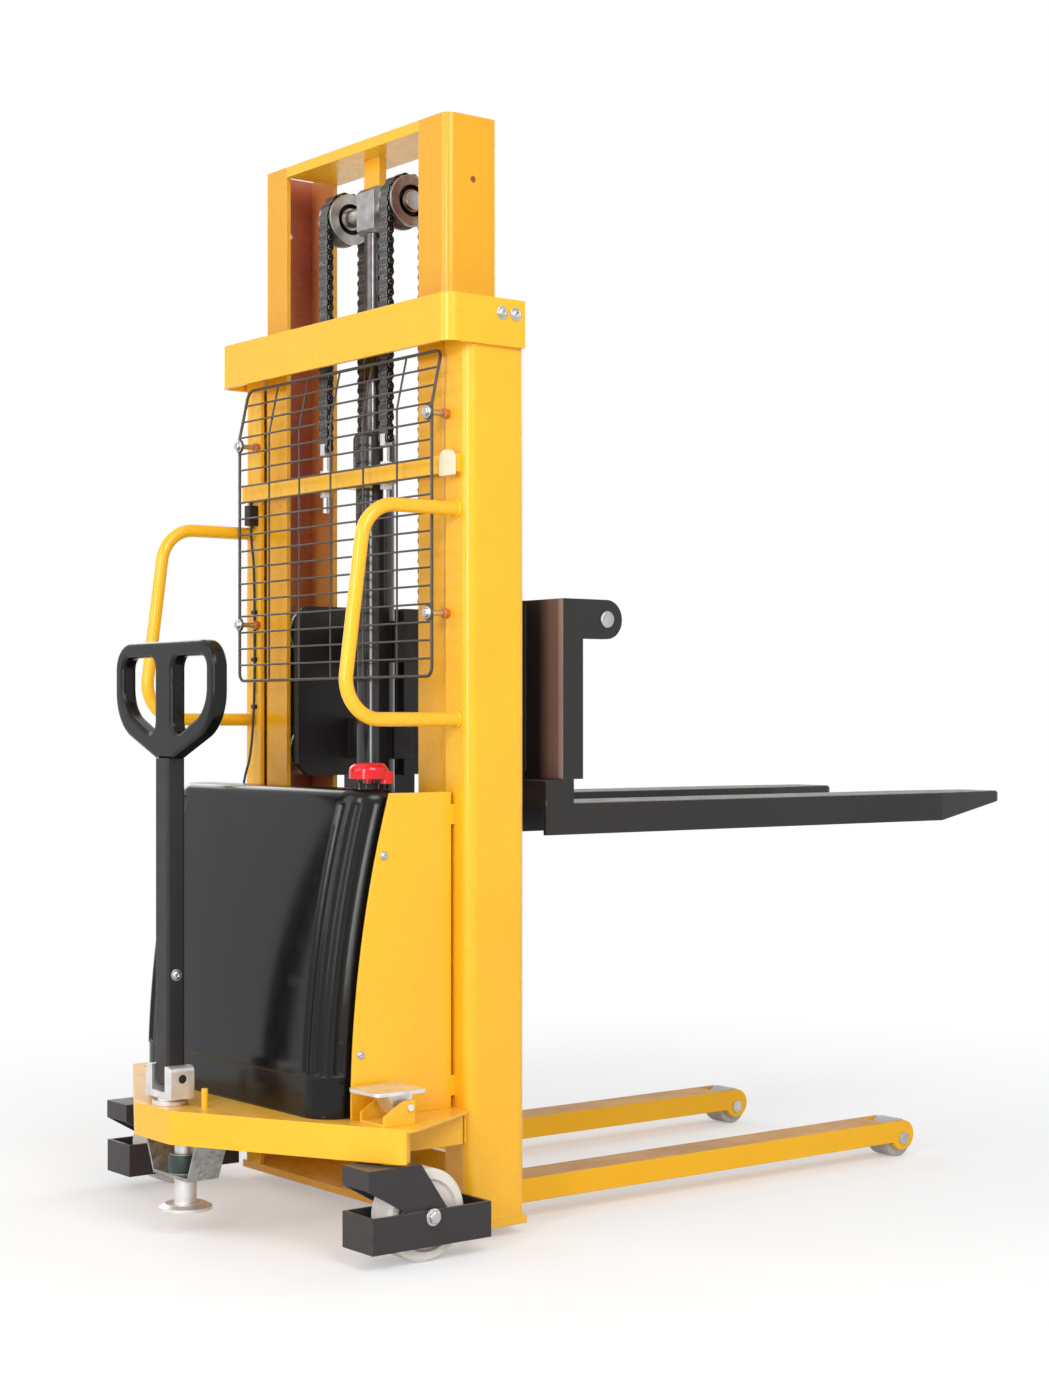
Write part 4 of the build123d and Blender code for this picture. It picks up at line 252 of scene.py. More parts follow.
def sheave_films(tree):
    """Painted shade: dark in the recessed ring of a sheave, and brown in patches on the outer side of the
    right one.
    """
    at = split(tree, "Object")
    across = calculate(tree, "SUBTRACT", at["Y"], SHEAVE_MIDDLE[0])
    above = calculate(tree, "SUBTRACT", at["Z"], SHEAVE_MIDDLE[1])
    squares = calculate(tree, "ADD", multiply(tree, across, across), multiply(tree, above, above))
    radius = calculate(tree, "SQRT", squares)
    # Painted shade in the recessed ring of the sheave
    recess = remap(tree, distance(tree, radius, SHEAVE_RECESS), *SHEAVE_RECESS_HALF)
    # Brown painted shade on the right sheave's outer side
    outer = remap(tree, split(tree, "Normal")["X"], 0.5, 0.9)
    outer = multiply(tree, outer, remap(tree, at["X"], *SHEAVE_RIGHT))
    side_shade = multiply(tree, outer, remap(tree, noise(tree, 40.0, 5.0), 0.3, 0.65, 0.35, 0.90))
    side_shade = multiply(tree, side_shade, remap(tree, radius, *SHEAVE_SHADE_END))
    return (side_shade, SHEAVE_SIDE_SHADE), (recess, SHEAVE_RECESS_SHADE)


# Noises of the finishes: cells to the metre, and detail
CLOUDS = (4.0, 5.0)
SPECKS = (420.0, 2.0)
DUST_DRIFTS = (14.0, 6.0)
SCUFFS = (60.0, 4.0)
ORANGE_PEEL = (260.0, 2.0)
PAINT_GLOSS = (22.0, 4.0)
METAL_PATCHES = (35.0, 5.0)
FLOW_MARKS = (6.0, 4.0, (1, 1, 0.3))
PLASTIC_GLOSS = (40.0, 5.0)
ZINC_BLOOM = (160.0, 4.0)
ZINC_CELLS = 120.0

# Shares and colours of what lies over a finish, and the depth of its bumps in metres
CLOUD_SHARE = 0.45
SPECK_SHARE = 0.22
DUST_SHARE = 0.16
DUST = colour(214, 206, 190)
SCUFF_SHARE = 0.55
PEEL_DEPTH = 0.0006
BRIGHT_SHARE = 0.5
BRIGHT_EDGE = colour(236, 236, 232)
DRAWN_GRAIN = (0.12, 0.0003)
PLASTIC_RUB = colour(150, 148, 146)
PLASTIC_DEPTH = 0.0003
ZINC_TONES = (colour(136, 140, 140), colour(176, 178, 176))
ZINC_ROUGH = (0.38, 0.58)
ZINC_EDGE_WIDTH = 0.0015
ZINC_EDGE_SHARE = 0.4
ZINC_EDGE = colour(214, 214, 210)
ZINC_BUMP = (0.15, 0.0004)


# Finishes
def paint(name, tone, deep, worn, gloss=(0.19, 0.31), peel=0.08, edge=0.0022, sheen=0.48, films=None):
    """Powder coat: cloudy tone, orange peel, thin film over the edges and dust on what faces up."""
    material, tree, shader = start(name)
    rounded, rim = soft_edges(tree, edge)
    cloud = remap(tree, noise(tree, *CLOUDS), 0.35, 0.75)
    body = mix(tree, multiply(tree, cloud, CLOUD_SHARE), tone, deep)
    speck = remap(tree, noise(tree, *SPECKS), 0.30, 0.72, 0.0, SPECK_SHARE)
    body = mix(tree, speck, body, deep)
    upward = remap(tree, split(tree, "Normal")["Z"], 0.6, 1.0)
    body = mix(tree, multiply(tree, upward, noise(tree, *DUST_DRIFTS), DUST_SHARE), body, DUST)
    scuff = remap(tree, noise(tree, *SCUFFS), 0.42, 0.62)
    body = mix(tree, multiply(tree, rim, scuff, SCUFF_SHARE), body, worn)
    fill(tree, shader, {
        "Base Color": coat(tree, body, films),
        "Roughness": remap(tree, noise(tree, *PAINT_GLOSS), 0.3, 0.7, *gloss),
        "Normal": bump(tree, noise(tree, *ORANGE_PEEL), peel, PEEL_DEPTH, rounded),
        "Specular IOR Level": sheen,
    })
    return material


def metal(name, tone, deep, rough=(0.22, 0.42), stretch=(1, 1, 1), grain=300.0, edge=0.0012, films=None):
    """Bare or plated steel: drawn grain, patchy brightness and bright edges."""
    material, tree, shader = start(name)
    rounded, rim = soft_edges(tree, edge)
    body = mix(tree, remap(tree, noise(tree, *METAL_PATCHES), 0.3, 0.7), tone, deep)
    body = mix(tree, multiply(tree, rim, BRIGHT_SHARE), body, BRIGHT_EDGE)
    lines = noise(tree, grain, 3.0, stretch)
    fill(tree, shader, {
        "Base Color": coat(tree, body, films),
        "Metallic": 1.0,
        "Roughness": remap(tree, lines, 0.25, 0.75, *rough),
        "Normal": bump(tree, lines, *DRAWN_GRAIN, rounded),
    })
    return material


def moulded(name, tone, deep, rough=(0.34, 0.50), grain=900.0, depth=0.14, edge=0.0015, sheen=0.5, rub=0.25):
    """Moulded plastic: fine sparked grain, faint flow marks and rubbed edges."""
    material, tree, shader = start(name)
    rounded, rim = soft_edges(tree, edge)
    body = mix(tree, remap(tree, noise(tree, *FLOW_MARKS), 0.3, 0.7), tone, deep)
    fill(tree, shader, {
        "Base Color": mix(tree, multiply(tree, rim, rub), body, PLASTIC_RUB),
        "Roughness": remap(tree, noise(tree, *PLASTIC_GLOSS), 0.3, 0.7, *rough),
        "Normal": bump(tree, noise(tree, grain, 2.0), depth, PLASTIC_DEPTH, rounded),
        "Specular IOR Level": sheen,
    })
    return material


def galvanise(name):
    """Hot-dip zinc: angular spangle with a dull bloom."""
    material, tree, shader = start(name)
    rounded, rim = soft_edges(tree, ZINC_EDGE_WIDTH)
    inputs = {"Vector": place(tree), "Scale": ZINC_CELLS}
    cells = add_node(tree, "ShaderNodeTexVoronoi", inputs).outputs["Color"]
    spangle = add_node(tree, "ShaderNodeSeparateColor", {0: cells}).outputs[0]
    body = mix(tree, spangle, *ZINC_TONES)
    fill(tree, shader, {
        "Base Color": mix(tree, multiply(tree, rim, ZINC_EDGE_SHARE), body, ZINC_EDGE),
        "Metallic": 0.85,
        "Roughness": remap(tree, spangle, 0.0, 1.0, *ZINC_ROUGH),
        "Normal": bump(tree, noise(tree, *ZINC_BLOOM), *ZINC_BUMP, rounded),
    })
    return material


# Paints: tone, deeper tone and worn edge
YELLOWS = (colour(245, 185, 36), colour(235, 168, 24), colour(255, 220, 130))
CHANNEL_YELLOWS = (colour(228, 164, 18), colour(216, 148, 12), colour(255, 206, 96))
BLACKS = (colour(42, 40, 39), colour(33, 31, 31), colour(108, 102, 96))
CASTER_BLACKS = (colour(54, 50, 51), colour(45, 42, 43), colour(116, 110, 106))
LOCK_GREENS = (colour(46, 62, 58), colour(36, 50, 47), colour(120, 128, 122))
WIRE_BROWNS = (colour(66, 58, 50), colour(48, 42, 38), colour(140, 128, 116))
SATIN_BLACK = {"gloss": (0.30, 0.46), "peel": 0.10, "sheen": 0.30}
yellow = paint("yellow_paint", *YELLOWS)
channel_yellow = paint("channel_paint", *CHANNEL_YELLOWS, films=channel_films)
leg_yellow = paint("leg_paint", *YELLOWS, gloss=(0.36, 0.50), sheen=0.20, films=leg_films)
black = paint("black_paint", *BLACKS, **SATIN_BLACK)
caster_black = paint("caster_paint", *CASTER_BLACKS, **SATIN_BLACK)
carriage_black = paint("carriage_paint", *BLACKS, **SATIN_BLACK, films=carriage_films)
barrel_black = paint("barrel_paint", *BLACKS, gloss=(0.10, 0.15), peel=0.01, sheen=0.50)
lock_green = paint("lock_green", *LOCK_GREENS, gloss=(0.34, 0.48))
wire = paint("wire_dark", *WIRE_BROWNS, gloss=(0.30, 0.44))

# Metals
bright = metal("bright_steel", colour(206, 206, 204), colour(168, 170, 172))
zinc = galvanise("galvanised")
rod = metal("rod_chrome", colour(96, 92, 92), colour(70, 66, 68), (0.10, 0.22), stretch=(1, 1, 0.05))
chain = metal("chain_steel", colour(52, 49, 48), colour(34, 32, 32), (0.30, 0.50), grain=500.0)
iron = metal(
    "sheave_iron",
    colour(204, 199, 194),
    colour(150, 142, 134),
    (0.28, 0.48),
    stretch=(0.2, 1, 1),
    films=sheave_films,
)
satin = metal("satin_steel", colour(188, 187, 185), colour(146, 145, 146), (0.38, 0.58))
pale_steel = metal("pale_steel", colour(236, 234, 232), colour(212, 210, 208), (0.40, 0.58))

# Plastics
nylon = moulded("nylon", colour(232, 227, 220), colour(216, 209, 200), (0.36, 0.52), grain=500.0, depth=0.10)
polyurethane = moulded("roller_grey", colour(196, 194, 190), colour(168, 166, 164), (0.4, 0.55), grain=600.0)
black_plastic = moulded(
    "black_plastic",
    colour(28, 27, 27),
    colour(21, 20, 21),
    (0.34, 0.46),
    grain=1100.0,
    depth=0.10,
    sheen=0.35,
)
hood_plastic = moulded(
    "hood_plastic",
    colour(19, 18, 18),
    colour(15, 14, 15),
    (0.13, 0.18),
    grain=1100.0,
    depth=0.03,
    edge=0.007,
    sheen=0.27,
    rub=0.08,
)
red_plastic = moulded(
    "red_plastic", colour(222, 12, 24), colour(200, 8, 20), (0.12, 0.20), grain=700.0, depth=0.03
)
spacer_orange = moulded("spacer_orange", colour(206, 116, 54), colour(184, 96, 42), (0.40, 0.55))
cream_plastic = moulded("cream_plastic", colour(240, 228, 200), colour(228, 214, 184))
cable_black = moulded("cable_black", colour(40, 38, 38), colour(30, 29, 29), (0.45, 0.60), grain=800.0)

# Finish of each slot in the record, and of the nodes that have one of their own
FINISHES = {
    "yellow_paint": yellow,
    "black_paint": black,
    "bright_steel": bright,
    "galvanised": zinc,
    "rod_chrome": rod,
    "chain_steel": chain,
    "sheave_iron": iron,
    "wire_dark": wire,
    "nylon": nylon,
    "roller_grey": polyurethane,
    "black_plastic": black_plastic,
    "red_plastic": red_plastic,
    "cream_plastic": cream_plastic,
    "cable_black": cable_black,
}
OWN_FINISHES = {
    "inner_upright_right": channel_yellow,
    "inner_upright_left": channel_yellow,
    "leg_right": leg_yellow,
    "leg_left": leg_yellow,
    "fork_right": carriage_black,
    "fork_left": carriage_black,
    "caster_fork_right": caster_black,
    "caster_fork_left": caster_black,
    "cylinder_barrel": barrel_black,
    "cylinder_gland": barrel_black,
    "hood": hood_plastic,
    "tiller_head": hood_plastic,
    "rod_head": satin,
    "carriage_chain_bolts": satin,
    "chain_anchors": pale_steel,
    "tiller_yoke": pale_steel,
    "brake_pedal": pale_steel,
    "floor_lock_foot": pale_steel,
}
for part in frame["record"]["subparts"]:
    mesh = nodes[part["node"]].data
    mesh.materials.clear()
    mesh.materials.append(FINISHES[part["material_slot"]])
for node, material in OWN_FINISHES.items():
    nodes[node].data.materials[0] = material

# Points of a solid's mesh closer than this are one, in metres; its bodies are put in order to these digits
SAME_POINT = 1e-6
ORDER_DIGITS = 5


# Shapes
def drawn(x, y, z):
    """A point drawn in millimetres from the mast's rear face, in metres about the footprint's middle."""
    return Vector((x, y - FOOTPRINT_MIDDLE, z)) / MM


def basis(axis):
    """An axis and two directions square to it."""
    along = Vector(axis).normalized()
    side = along.orthogonal().normalized()
    return along, side, along.cross(side)


def skin(shape, rings, closed=False):
    """Faces between rings of points, with the ends filled unless the rings meet."""
    pairs = list(zip(rings, rings[1:]))
    if closed:
        pairs.append((rings[-1], rings[0]))
    for first, second in pairs:
        for index in range(len(first)):
            after = (index + 1) % len(first)
            shape.faces.new((first[index], first[after], second[after], second[index]))
    if not closed:
        shape.faces.new(list(reversed(rings[0])))
        shape.faces.new(rings[-1])


def ring(shape, centre, side, up, radius, steps):
    points = []
    for step in range(steps):
        turn = 2 * math.pi * step / steps
        points.append(shape.verts.new(centre + radius * (math.cos(turn) * side + math.sin(turn) * up)))
    return points


def tube(shape, points, radii, steps=10, closed=False):
    """Round bar along points, with one radius or a radius at each point."""
    if not isinstance(radii, (list, tuple)):
        radii = [radii] * len(points)
    rings = []
    side = None
    for index, point in enumerate(points):
        before = points[index - 1] if index or closed else point
        after = points[(index + 1) % len(points)] if index + 1 < len(points) or closed else point
        along = (after - before).normalized()
        side = along.orthogonal() if side is None else side - along * side.dot(along)
        side.normalize()
        rings.append(ring(shape, point, side, along.cross(side), radii[index], steps))
    skin(shape, rings, closed)


def lathe(shape, outline, at, axis, steps=28, closed=False):
    """Turned solid through (distance along the axis, radius) points, or a ring if they close a loop."""
    along, side, up = basis(axis)
    rings = [ring(shape, at + along * reach, side, up, radius, steps) for reach, radius in outline]
    skin(shape, rings, closed)


def plate(shape, outline, thickness):
    """Flat plate on an outline of points that lie square to X."""
    shift = Vector((thickness, 0, 0))
    lower = [shape.verts.new(point - shift / 2) for point in outline]
    upper = [shape.verts.new(point + shift / 2) for point in outline]
    for index in range(len(outline)):
        after = (index + 1) % len(outline)
        shape.faces.new((lower[index], lower[after], upper[after], upper[index]))
    shape.faces.new(list(reversed(lower)))
    shape.faces.new(upper)


def finished(name, shape, material, sharp=35.0):
    """Turns a drawn shape into a named piece with its material and slot, smooth up to an angle."""
    bmesh.ops.recalc_face_normals(shape, faces=shape.faces)
    mesh = bpy.data.meshes.new(name)
    shape.to_mesh(mesh)
    shape.free()
    mesh.materials.append(material)
    for face in mesh.polygons:
        face.use_smooth = True
    mesh.set_sharp_from_angle(angle=math.radians(sharp))
    piece = bpy.data.objects.new(name, mesh)
    bpy.context.scene.collection.objects.link(piece)
    return piece


def islands(node):
    """Box of each separate body in a node's mesh."""
    shape = bmesh.new()
    shape.from_mesh(nodes[node].data)
    bmesh.ops.remove_doubles(shape, verts=shape.verts, dist=SAME_POINT)
    left = set(shape.verts)
    boxes = []
    while left:
        waiting = [left.pop()]
        found = []
        while waiting:
            vert = waiting.pop()
            found.append(vert.co.copy())
            for edge in vert.link_edges:
                other = edge.other_vert(vert)
                if other in left:
                    left.remove(other)
                    waiting.append(other)
        low = Vector([min(point[axis] for point in found) for axis in range(3)])
        high = Vector([max(point[axis] for point in found) for axis in range(3)])
        boxes.append((low, high))
    shape.free()
    return sorted(boxes, key=lambda box: tuple(round(value, ORDER_DIGITS) for value in box[0]))


# Switch cable: clipped down the left upright and into the battery; diameter and length in metres
CABLE_ROUTE = (
    (-335.5, -11.0, 1318.0),
    (-335.5, -11.0, 1288.0),
    (-335.5, -2.8, 1238.0),
    (-335.5, -2.8, 880.0),
    (-310.0, -50.0, 790.0),
    (-230.0, -90.0, 690.0),
    (-205.0, -110.0, 580.0),
    (-205.0, -110.0, 436.0),
)
CABLE_DIAMETER = 0.005
route = [drawn(*point) for point in CABLE_ROUTE]
run = bpy.data.curves.new("cable", "CURVE")
run.dimensions = "3D"
run.bevel_depth = CABLE_DIAMETER / 2
run.bevel_resolution = 5
run.use_fill_caps = True
spline = run.splines.new("NURBS")
spline.points.add(len(route) - 1)
for point, at in zip(spline.points, route):
    point.co = (*at, 1.0)
spline.order_u = 3
spline.use_endpoint_u = True
spline.resolution_u = 16
run.materials.append(cable_black)
cable = bpy.data.objects.new("cable", run)
bpy.context.scene.collection.objects.link(cable)
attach(cable, "chassis")
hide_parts("switch_cable")

# Wire guard: welded round wires, the top rows bent towards the mast; drawn in millimetres
GUARD_HALF = 334.0
GUARD_LOW = 1002.0
GUARD_HIGH = 1590.0
GUARD_ROWS = 18
GUARD_COLUMNS = 6
GUARD_BENT_ROWS = 3
GUARD_PLANE = -40.0
GUARD_LEAN = 22.0
GUARD_CORNER = 16.0
CORNER_STEPS = 6
BEND_EASE = 6.0
WIRE_RADIUS = 2.0
WIRE_STEPS = 10
BORDER_RADIUS = 3.0
BORDER_STEPS = 12
row_pitch = (GUARD_HIGH - GUARD_LOW - 2 * WIRE_RADIUS) / GUARD_ROWS
column_pitch = (2 * GUARD_HALF - 2 * BORDER_RADIUS) / GUARD_COLUMNS
bend_height = GUARD_LOW + WIRE_RADIUS + (GUARD_ROWS - GUARD_BENT_ROWS) * row_pitch


def on_guard(x, z, proud=0.0):
    """Point on the net, leaning in above the bend."""
    lean = max(0.0, z - bend_height) / (GUARD_HIGH - bend_height) * GUARD_LEAN
    return drawn(x, GUARD_PLANE + lean - proud, z)


guard = bmesh.new()
net_low, net_high = GUARD_LOW + BORDER_RADIUS, GUARD_HIGH - BORDER_RADIUS
net_half = GUARD_HALF - BORDER_RADIUS
# Corners and bends of the border, and the angle where a corner's arc begins
border_turns = (
    (net_half, net_low, -90),
    (net_half, bend_height, None),
    (net_half, net_high, 0),
    (-net_half, net_high, 90),
    (-net_half, bend_height, None),
    (-net_half, net_low, 180),
)
border = []
for x, z, first in border_turns:
    if first is None:
        border.append(on_guard(x, z))
        continue
    centre_x = x - math.copysign(GUARD_CORNER, x)
    centre_z = z + (GUARD_CORNER if z == net_low else -GUARD_CORNER)
    for step in range(CORNER_STEPS + 1):
        turn = math.radians(first + 90 * step / CORNER_STEPS)
        corner_x = centre_x + GUARD_CORNER * math.cos(turn)
        corner_z = centre_z + GUARD_CORNER * math.sin(turn)
        border.append(on_guard(corner_x, corner_z))
tube(guard, border, BORDER_RADIUS / MM, BORDER_STEPS, closed=True)
for column in range(1, GUARD_COLUMNS):
    x = -net_half + column * column_pitch
    heights = (net_low, bend_height - BEND_EASE, bend_height, bend_height + BEND_EASE, net_high)
    tube(guard, [on_guard(x, z, -WIRE_RADIUS / 2) for z in heights], WIRE_RADIUS / MM, WIRE_STEPS)
for row in range(1, GUARD_ROWS):
    z = GUARD_LOW + WIRE_RADIUS + row * row_pitch
    places = (-net_half, -net_half / 2, 0, net_half / 2, net_half)
    tube(guard, [on_guard(x, z, WIRE_RADIUS) for x in places], WIRE_RADIUS / MM, WIRE_STEPS)
guard_net = finished("guard_net", guard, wire)
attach(guard_net, "chassis")
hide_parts("mesh_guard")

# Leaf chains: laced plates on riveted pins, from the cross bar over the sheaves to the carriage.
# Their course and lacing are drawn in millimetres; plates and pins are in metres
CHAIN_X = 103.0
CHAIN_PITCH = 19.05
LACING = ((-12.5, -7.5, -2.5, 2.5, 7.5, 12.5), (-10.0, -5.0, 0.0, 5.0, 10.0))
SHEAVE_AT = (63.0, 1901.0)
SHEAVE_RADIUS = 45.0
REAR_END = 1462.0
FRONT_END = 987.0
ANCHOR_OVERLAP = 8.0
PLATE_RADIUS = 0.0090
PLATE_WAIST = 0.0065
PLATE_THICK = 0.0023
PLATE_END_STEPS = 6
PIN_RADIUS = 0.0042
PIN_LENGTH = 0.0300
PIN_CHAMFER = 0.0006
PIN_END_SHARE = 0.8
PIN_STEPS = 10
CHAIN_SHARP = 30.0


def leaf(shape, first, second):
    """One waisted link plate between two pins."""
    along = (second - first).normalized()
    across = Vector((1, 0, 0)).cross(along)
    outline = []
    for centre, start_turn in ((first, 90), (second, -90)):
        for step in range(PLATE_END_STEPS + 1):
            turn = math.radians(start_turn + 180 * step / PLATE_END_STEPS)
            outline.append(centre + PLATE_RADIUS * (math.cos(turn) * along + math.sin(turn) * across))
        sideways = -1 if start_turn > 0 else 1
        outline.append((first + second) / 2 + sideways * PLATE_WAIST * across)
    plate(shape, outline, PLATE_THICK)


def strand(name, stations, first_link):
    """Leaf chain through (y, z) stations on both sides, laced on from a given link."""
    rivet = [
        (-PIN_LENGTH / 2, PIN_RADIUS * PIN_END_SHARE),
        (-PIN_LENGTH / 2 + PIN_CHAMFER, PIN_RADIUS),
        (PIN_LENGTH / 2 - PIN_CHAMFER, PIN_RADIUS),
        (PIN_LENGTH / 2, PIN_RADIUS * PIN_END_SHARE),
    ]
    shape = bmesh.new()
    for side in (1, -1):
        pins = [drawn(side * CHAIN_X, y, z) for y, z in stations]
        for index, (first, second) in enumerate(zip(pins, pins[1:])):
            for shift in LACING[(first_link + index) % 2]:
                offset = Vector((shift / MM, 0, 0))
                leaf(shape, first + offset, second + offset)
        for pin in pins:
            lathe(shape, rivet, pin, (1, 0, 0), PIN_STEPS)
    return finished(name, shape, chain, CHAIN_SHARP)


def run_of(y, low, high):
    """Stations up a straight run, a whole number of pitches apart."""
    count = round((high - low) / CHAIN_PITCH)
    return [(y, low + (high - low) * index / count) for index in range(count + 1)]


sheave_y, sheave_z = SHEAVE_AT
rear_y, front_y = sheave_y - SHEAVE_RADIUS, sheave_y + SHEAVE_RADIUS
wrap_links = round(math.pi * SHEAVE_RADIUS / CHAIN_PITCH)
wrap_stations = []
for index in range(wrap_links + 1):
    turn = math.pi * (1 - index / wrap_links)
    station_y = sheave_y + SHEAVE_RADIUS * math.cos(turn)
    wrap_stations.append((station_y, sheave_z + SHEAVE_RADIUS * math.sin(turn)))
rear_stations = run_of(rear_y, REAR_END - ANCHOR_OVERLAP, sheave_z)
front_stations = list(reversed(run_of(front_y, FRONT_END - ANCHOR_OVERLAP, sheave_z)))
rear_links = len(rear_stations) - 1
rear_chain = strand("leaf_chain_rear", rear_stations, 0)
wrap_chain = strand("leaf_chain_wrap", wrap_stations, rear_links)
front_chain = strand("leaf_chain_front", front_stations, rear_links + wrap_links)
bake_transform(rear_chain)
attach(wrap_chain, "inner_mast")
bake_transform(front_chain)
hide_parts("chain_rear_strands")
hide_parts("chain_wraps")
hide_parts("chain_front_strands")

# Outlines of screw heads, as shares of the head's radius: distance along the axis, radius
HEAD_STEPS = 30
BUTTON_WASHER = [(0, 1.35), (0.16, 1.35), (0.2, 1.3)]
BUTTON_DOME = [
    (0.2 + 0.5 * math.sin(turn), 0.45 + 0.55 * math.cos(turn))
    for turn in (math.radians(18 * step) for step in range(6))
]
BUTTON_SOCKET = [(0.68, 0.40), (0.4, 0.38)]
HEX_WASHER = [(0, 1.3), (0.18, 1.3), (0.22, 1.24)]
HEX_HEAD = [(0.2, 1), (0.72, 1), (0.84, 0.86)]
HEX_TOP = [(0.8, 0.82), (0.86, 0.78)]
HEX_TOP_STEPS = 24


def scaled(outline, radius):
    return [(radius * reach, radius * share) for reach, share in outline]


def button_head(shape, at, axis, radius):
    """Domed socket screw on a washer."""
    lathe(shape, scaled(BUTTON_WASHER + BUTTON_DOME + BUTTON_SOCKET, radius), at, axis, HEAD_STEPS)


def hex_head(shape, at, axis, radius):
    """Hexagon head with a chamfered top on a washer."""
    lathe(shape, scaled(HEX_WASHER, radius), at, axis, HEAD_STEPS)
    lathe(shape, scaled(HEX_HEAD, radius), at, axis, 6)
    lathe(shape, scaled(HEX_TOP, radius), at, axis, HEX_TOP_STEPS)


# Frame screws: in the top beam and the side panels
heads = bmesh.new()
for low, high in islands("frame_fasteners"):
    middle = (low + high) / 2
    outward = 1 if middle.x > 0 else -1
    seat = Vector((low.x if outward > 0 else high.x, middle.y, middle.z))
    button_head(heads, seat, (outward, 0, 0), (high.z - low.z) / 2)
frame_screws = finished("frame_screws", heads, bright)
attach(frame_screws, "chassis")
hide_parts("frame_fasteners")

# Guard clamps: a stud in an orange spacer on the upright, with a bolt and a dark washer on the net; in
# metres, and in shares of the clamp's radius
REARWARD = (0, -1, 0)
STUD_SHARE = 5 / 9
STUD_CHAMFER = 0.001
STUD_STEPS = 20
SPACER = ((0, 0.92), (0.006, 1), (0.010, 1), (0.012, 0.8))
HEAD_SHARE = 0.98
CORE_SHARE = 0.3
CORE_BEFORE = 0.001
CORE_LENGTH = 0.009
CLAMP_WASHER = 0.0140
CLAMP_WASHER_THICK = 0.0032
CLAMP_WASHER_CHAMFER = 0.0008
CLAMP_WASHER_FACE = 0.94
clamp_bolts = bmesh.new()
spacers = bmesh.new()
washers = bmesh.new()
washer = [
    (0, CLAMP_WASHER * CLAMP_WASHER_FACE),
    (CLAMP_WASHER_CHAMFER, CLAMP_WASHER),
    (CLAMP_WASHER_THICK - CLAMP_WASHER_CHAMFER, CLAMP_WASHER),
    (CLAMP_WASHER_THICK, CLAMP_WASHER * CLAMP_WASHER_FACE),
]
net = drawn(0, GUARD_PLANE, 0).y + WIRE_RADIUS / MM
for low, high in islands("guard_clamps"):
    middle = (low + high) / 2
    radius = (high.x - low.x) / 2
    seat = Vector((middle.x, high.y, middle.z))
    length = high.y - net
    stud = radius * STUD_SHARE
    shank = [(0, stud), (length - STUD_CHAMFER, stud), (length, stud - STUD_CHAMFER)]
    lathe(clamp_bolts, shank, seat, REARWARD, STUD_STEPS)
    collar = [(reach, radius * share) for reach, share in SPACER]
    lathe(spacers, collar + [(SPACER[-1][0], stud)], seat, REARWARD)
    on_net = Vector((middle.x, net - 2 * WIRE_RADIUS / MM, middle.z))
    lathe(washers, washer, on_net, REARWARD)
    hex_head(clamp_bolts, on_net - Vector((0, CLAMP_WASHER_THICK, 0)), REARWARD, radius * HEAD_SHARE)
    core = Vector((middle.x, net + CORE_BEFORE, middle.z))
    lathe(clamp_bolts, [(0, radius * CORE_SHARE), (CORE_LENGTH, radius * CORE_SHARE)], core, REARWARD)
guard_bolts = finished("guard_bolts", clamp_bolts, bright)
guard_spacers = finished("guard_spacers", spacers, spacer_orange)
guard_washers = finished("guard_washers", washers, wire)
for piece in (guard_bolts, guard_spacers, guard_washers):
    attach(piece, "chassis")
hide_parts("guard_clamps")

# Caster axle bolts: a hexagon head and nut on the foot guard of each caster
CASTER_AT = (425.0, -137.0, 80.0)
CASTER_GUARD_HALF = 46.0
AXLE_HEX = 0.0115
for side, body in ((1, "caster_right"), (-1, "caster_left")):
    bolts = bmesh.new()
    for outward in (1, -1):
        x = side * CASTER_AT[0] + outward * CASTER_GUARD_HALF
        hex_head(bolts, drawn(x, *CASTER_AT[1:]), (outward, 0, 0), AXLE_HEX)
    axle_bolts = finished("axle_bolts_" + body, bolts, bright)
    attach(axle_bolts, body)

# Tiller bolts: a domed screw in each side of the stem
STEM_SIDE = 23.0
STEM_BOLT_AT = (-382.0, 470.0)
STEM_BOLT = 0.008
stem_heads = bmesh.new()
for side in (1, -1):
    button_head(stem_heads, drawn(side * STEM_SIDE, *STEM_BOLT_AT), (side, 0, 0), STEM_BOLT)
stem_bolts = finished("stem_bolts", stem_heads, bright)
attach(stem_bolts, "tiller")

# Floor-lock sleeve: a painted band round the barrel under the platform, its section in metres
LOCK_AT = (0.0, -350.0, 112.0)
LOCK_BAND = (
    (0.0, 0.0301),
    (0.0, 0.0312),
    (0.0015, 0.0318),
    (0.0305, 0.0318),
    (0.032, 0.0312),
    (0.032, 0.0301),
)
LOCK_BAND_STEPS = 36
lock_band = bmesh.new()
lathe(lock_band, LOCK_BAND, drawn(*LOCK_AT), (0, 0, 1), LOCK_BAND_STEPS, closed=True)
lock_sleeve = finished("lock_sleeve", lock_band, lock_green)
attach(lock_sleeve, "chassis")

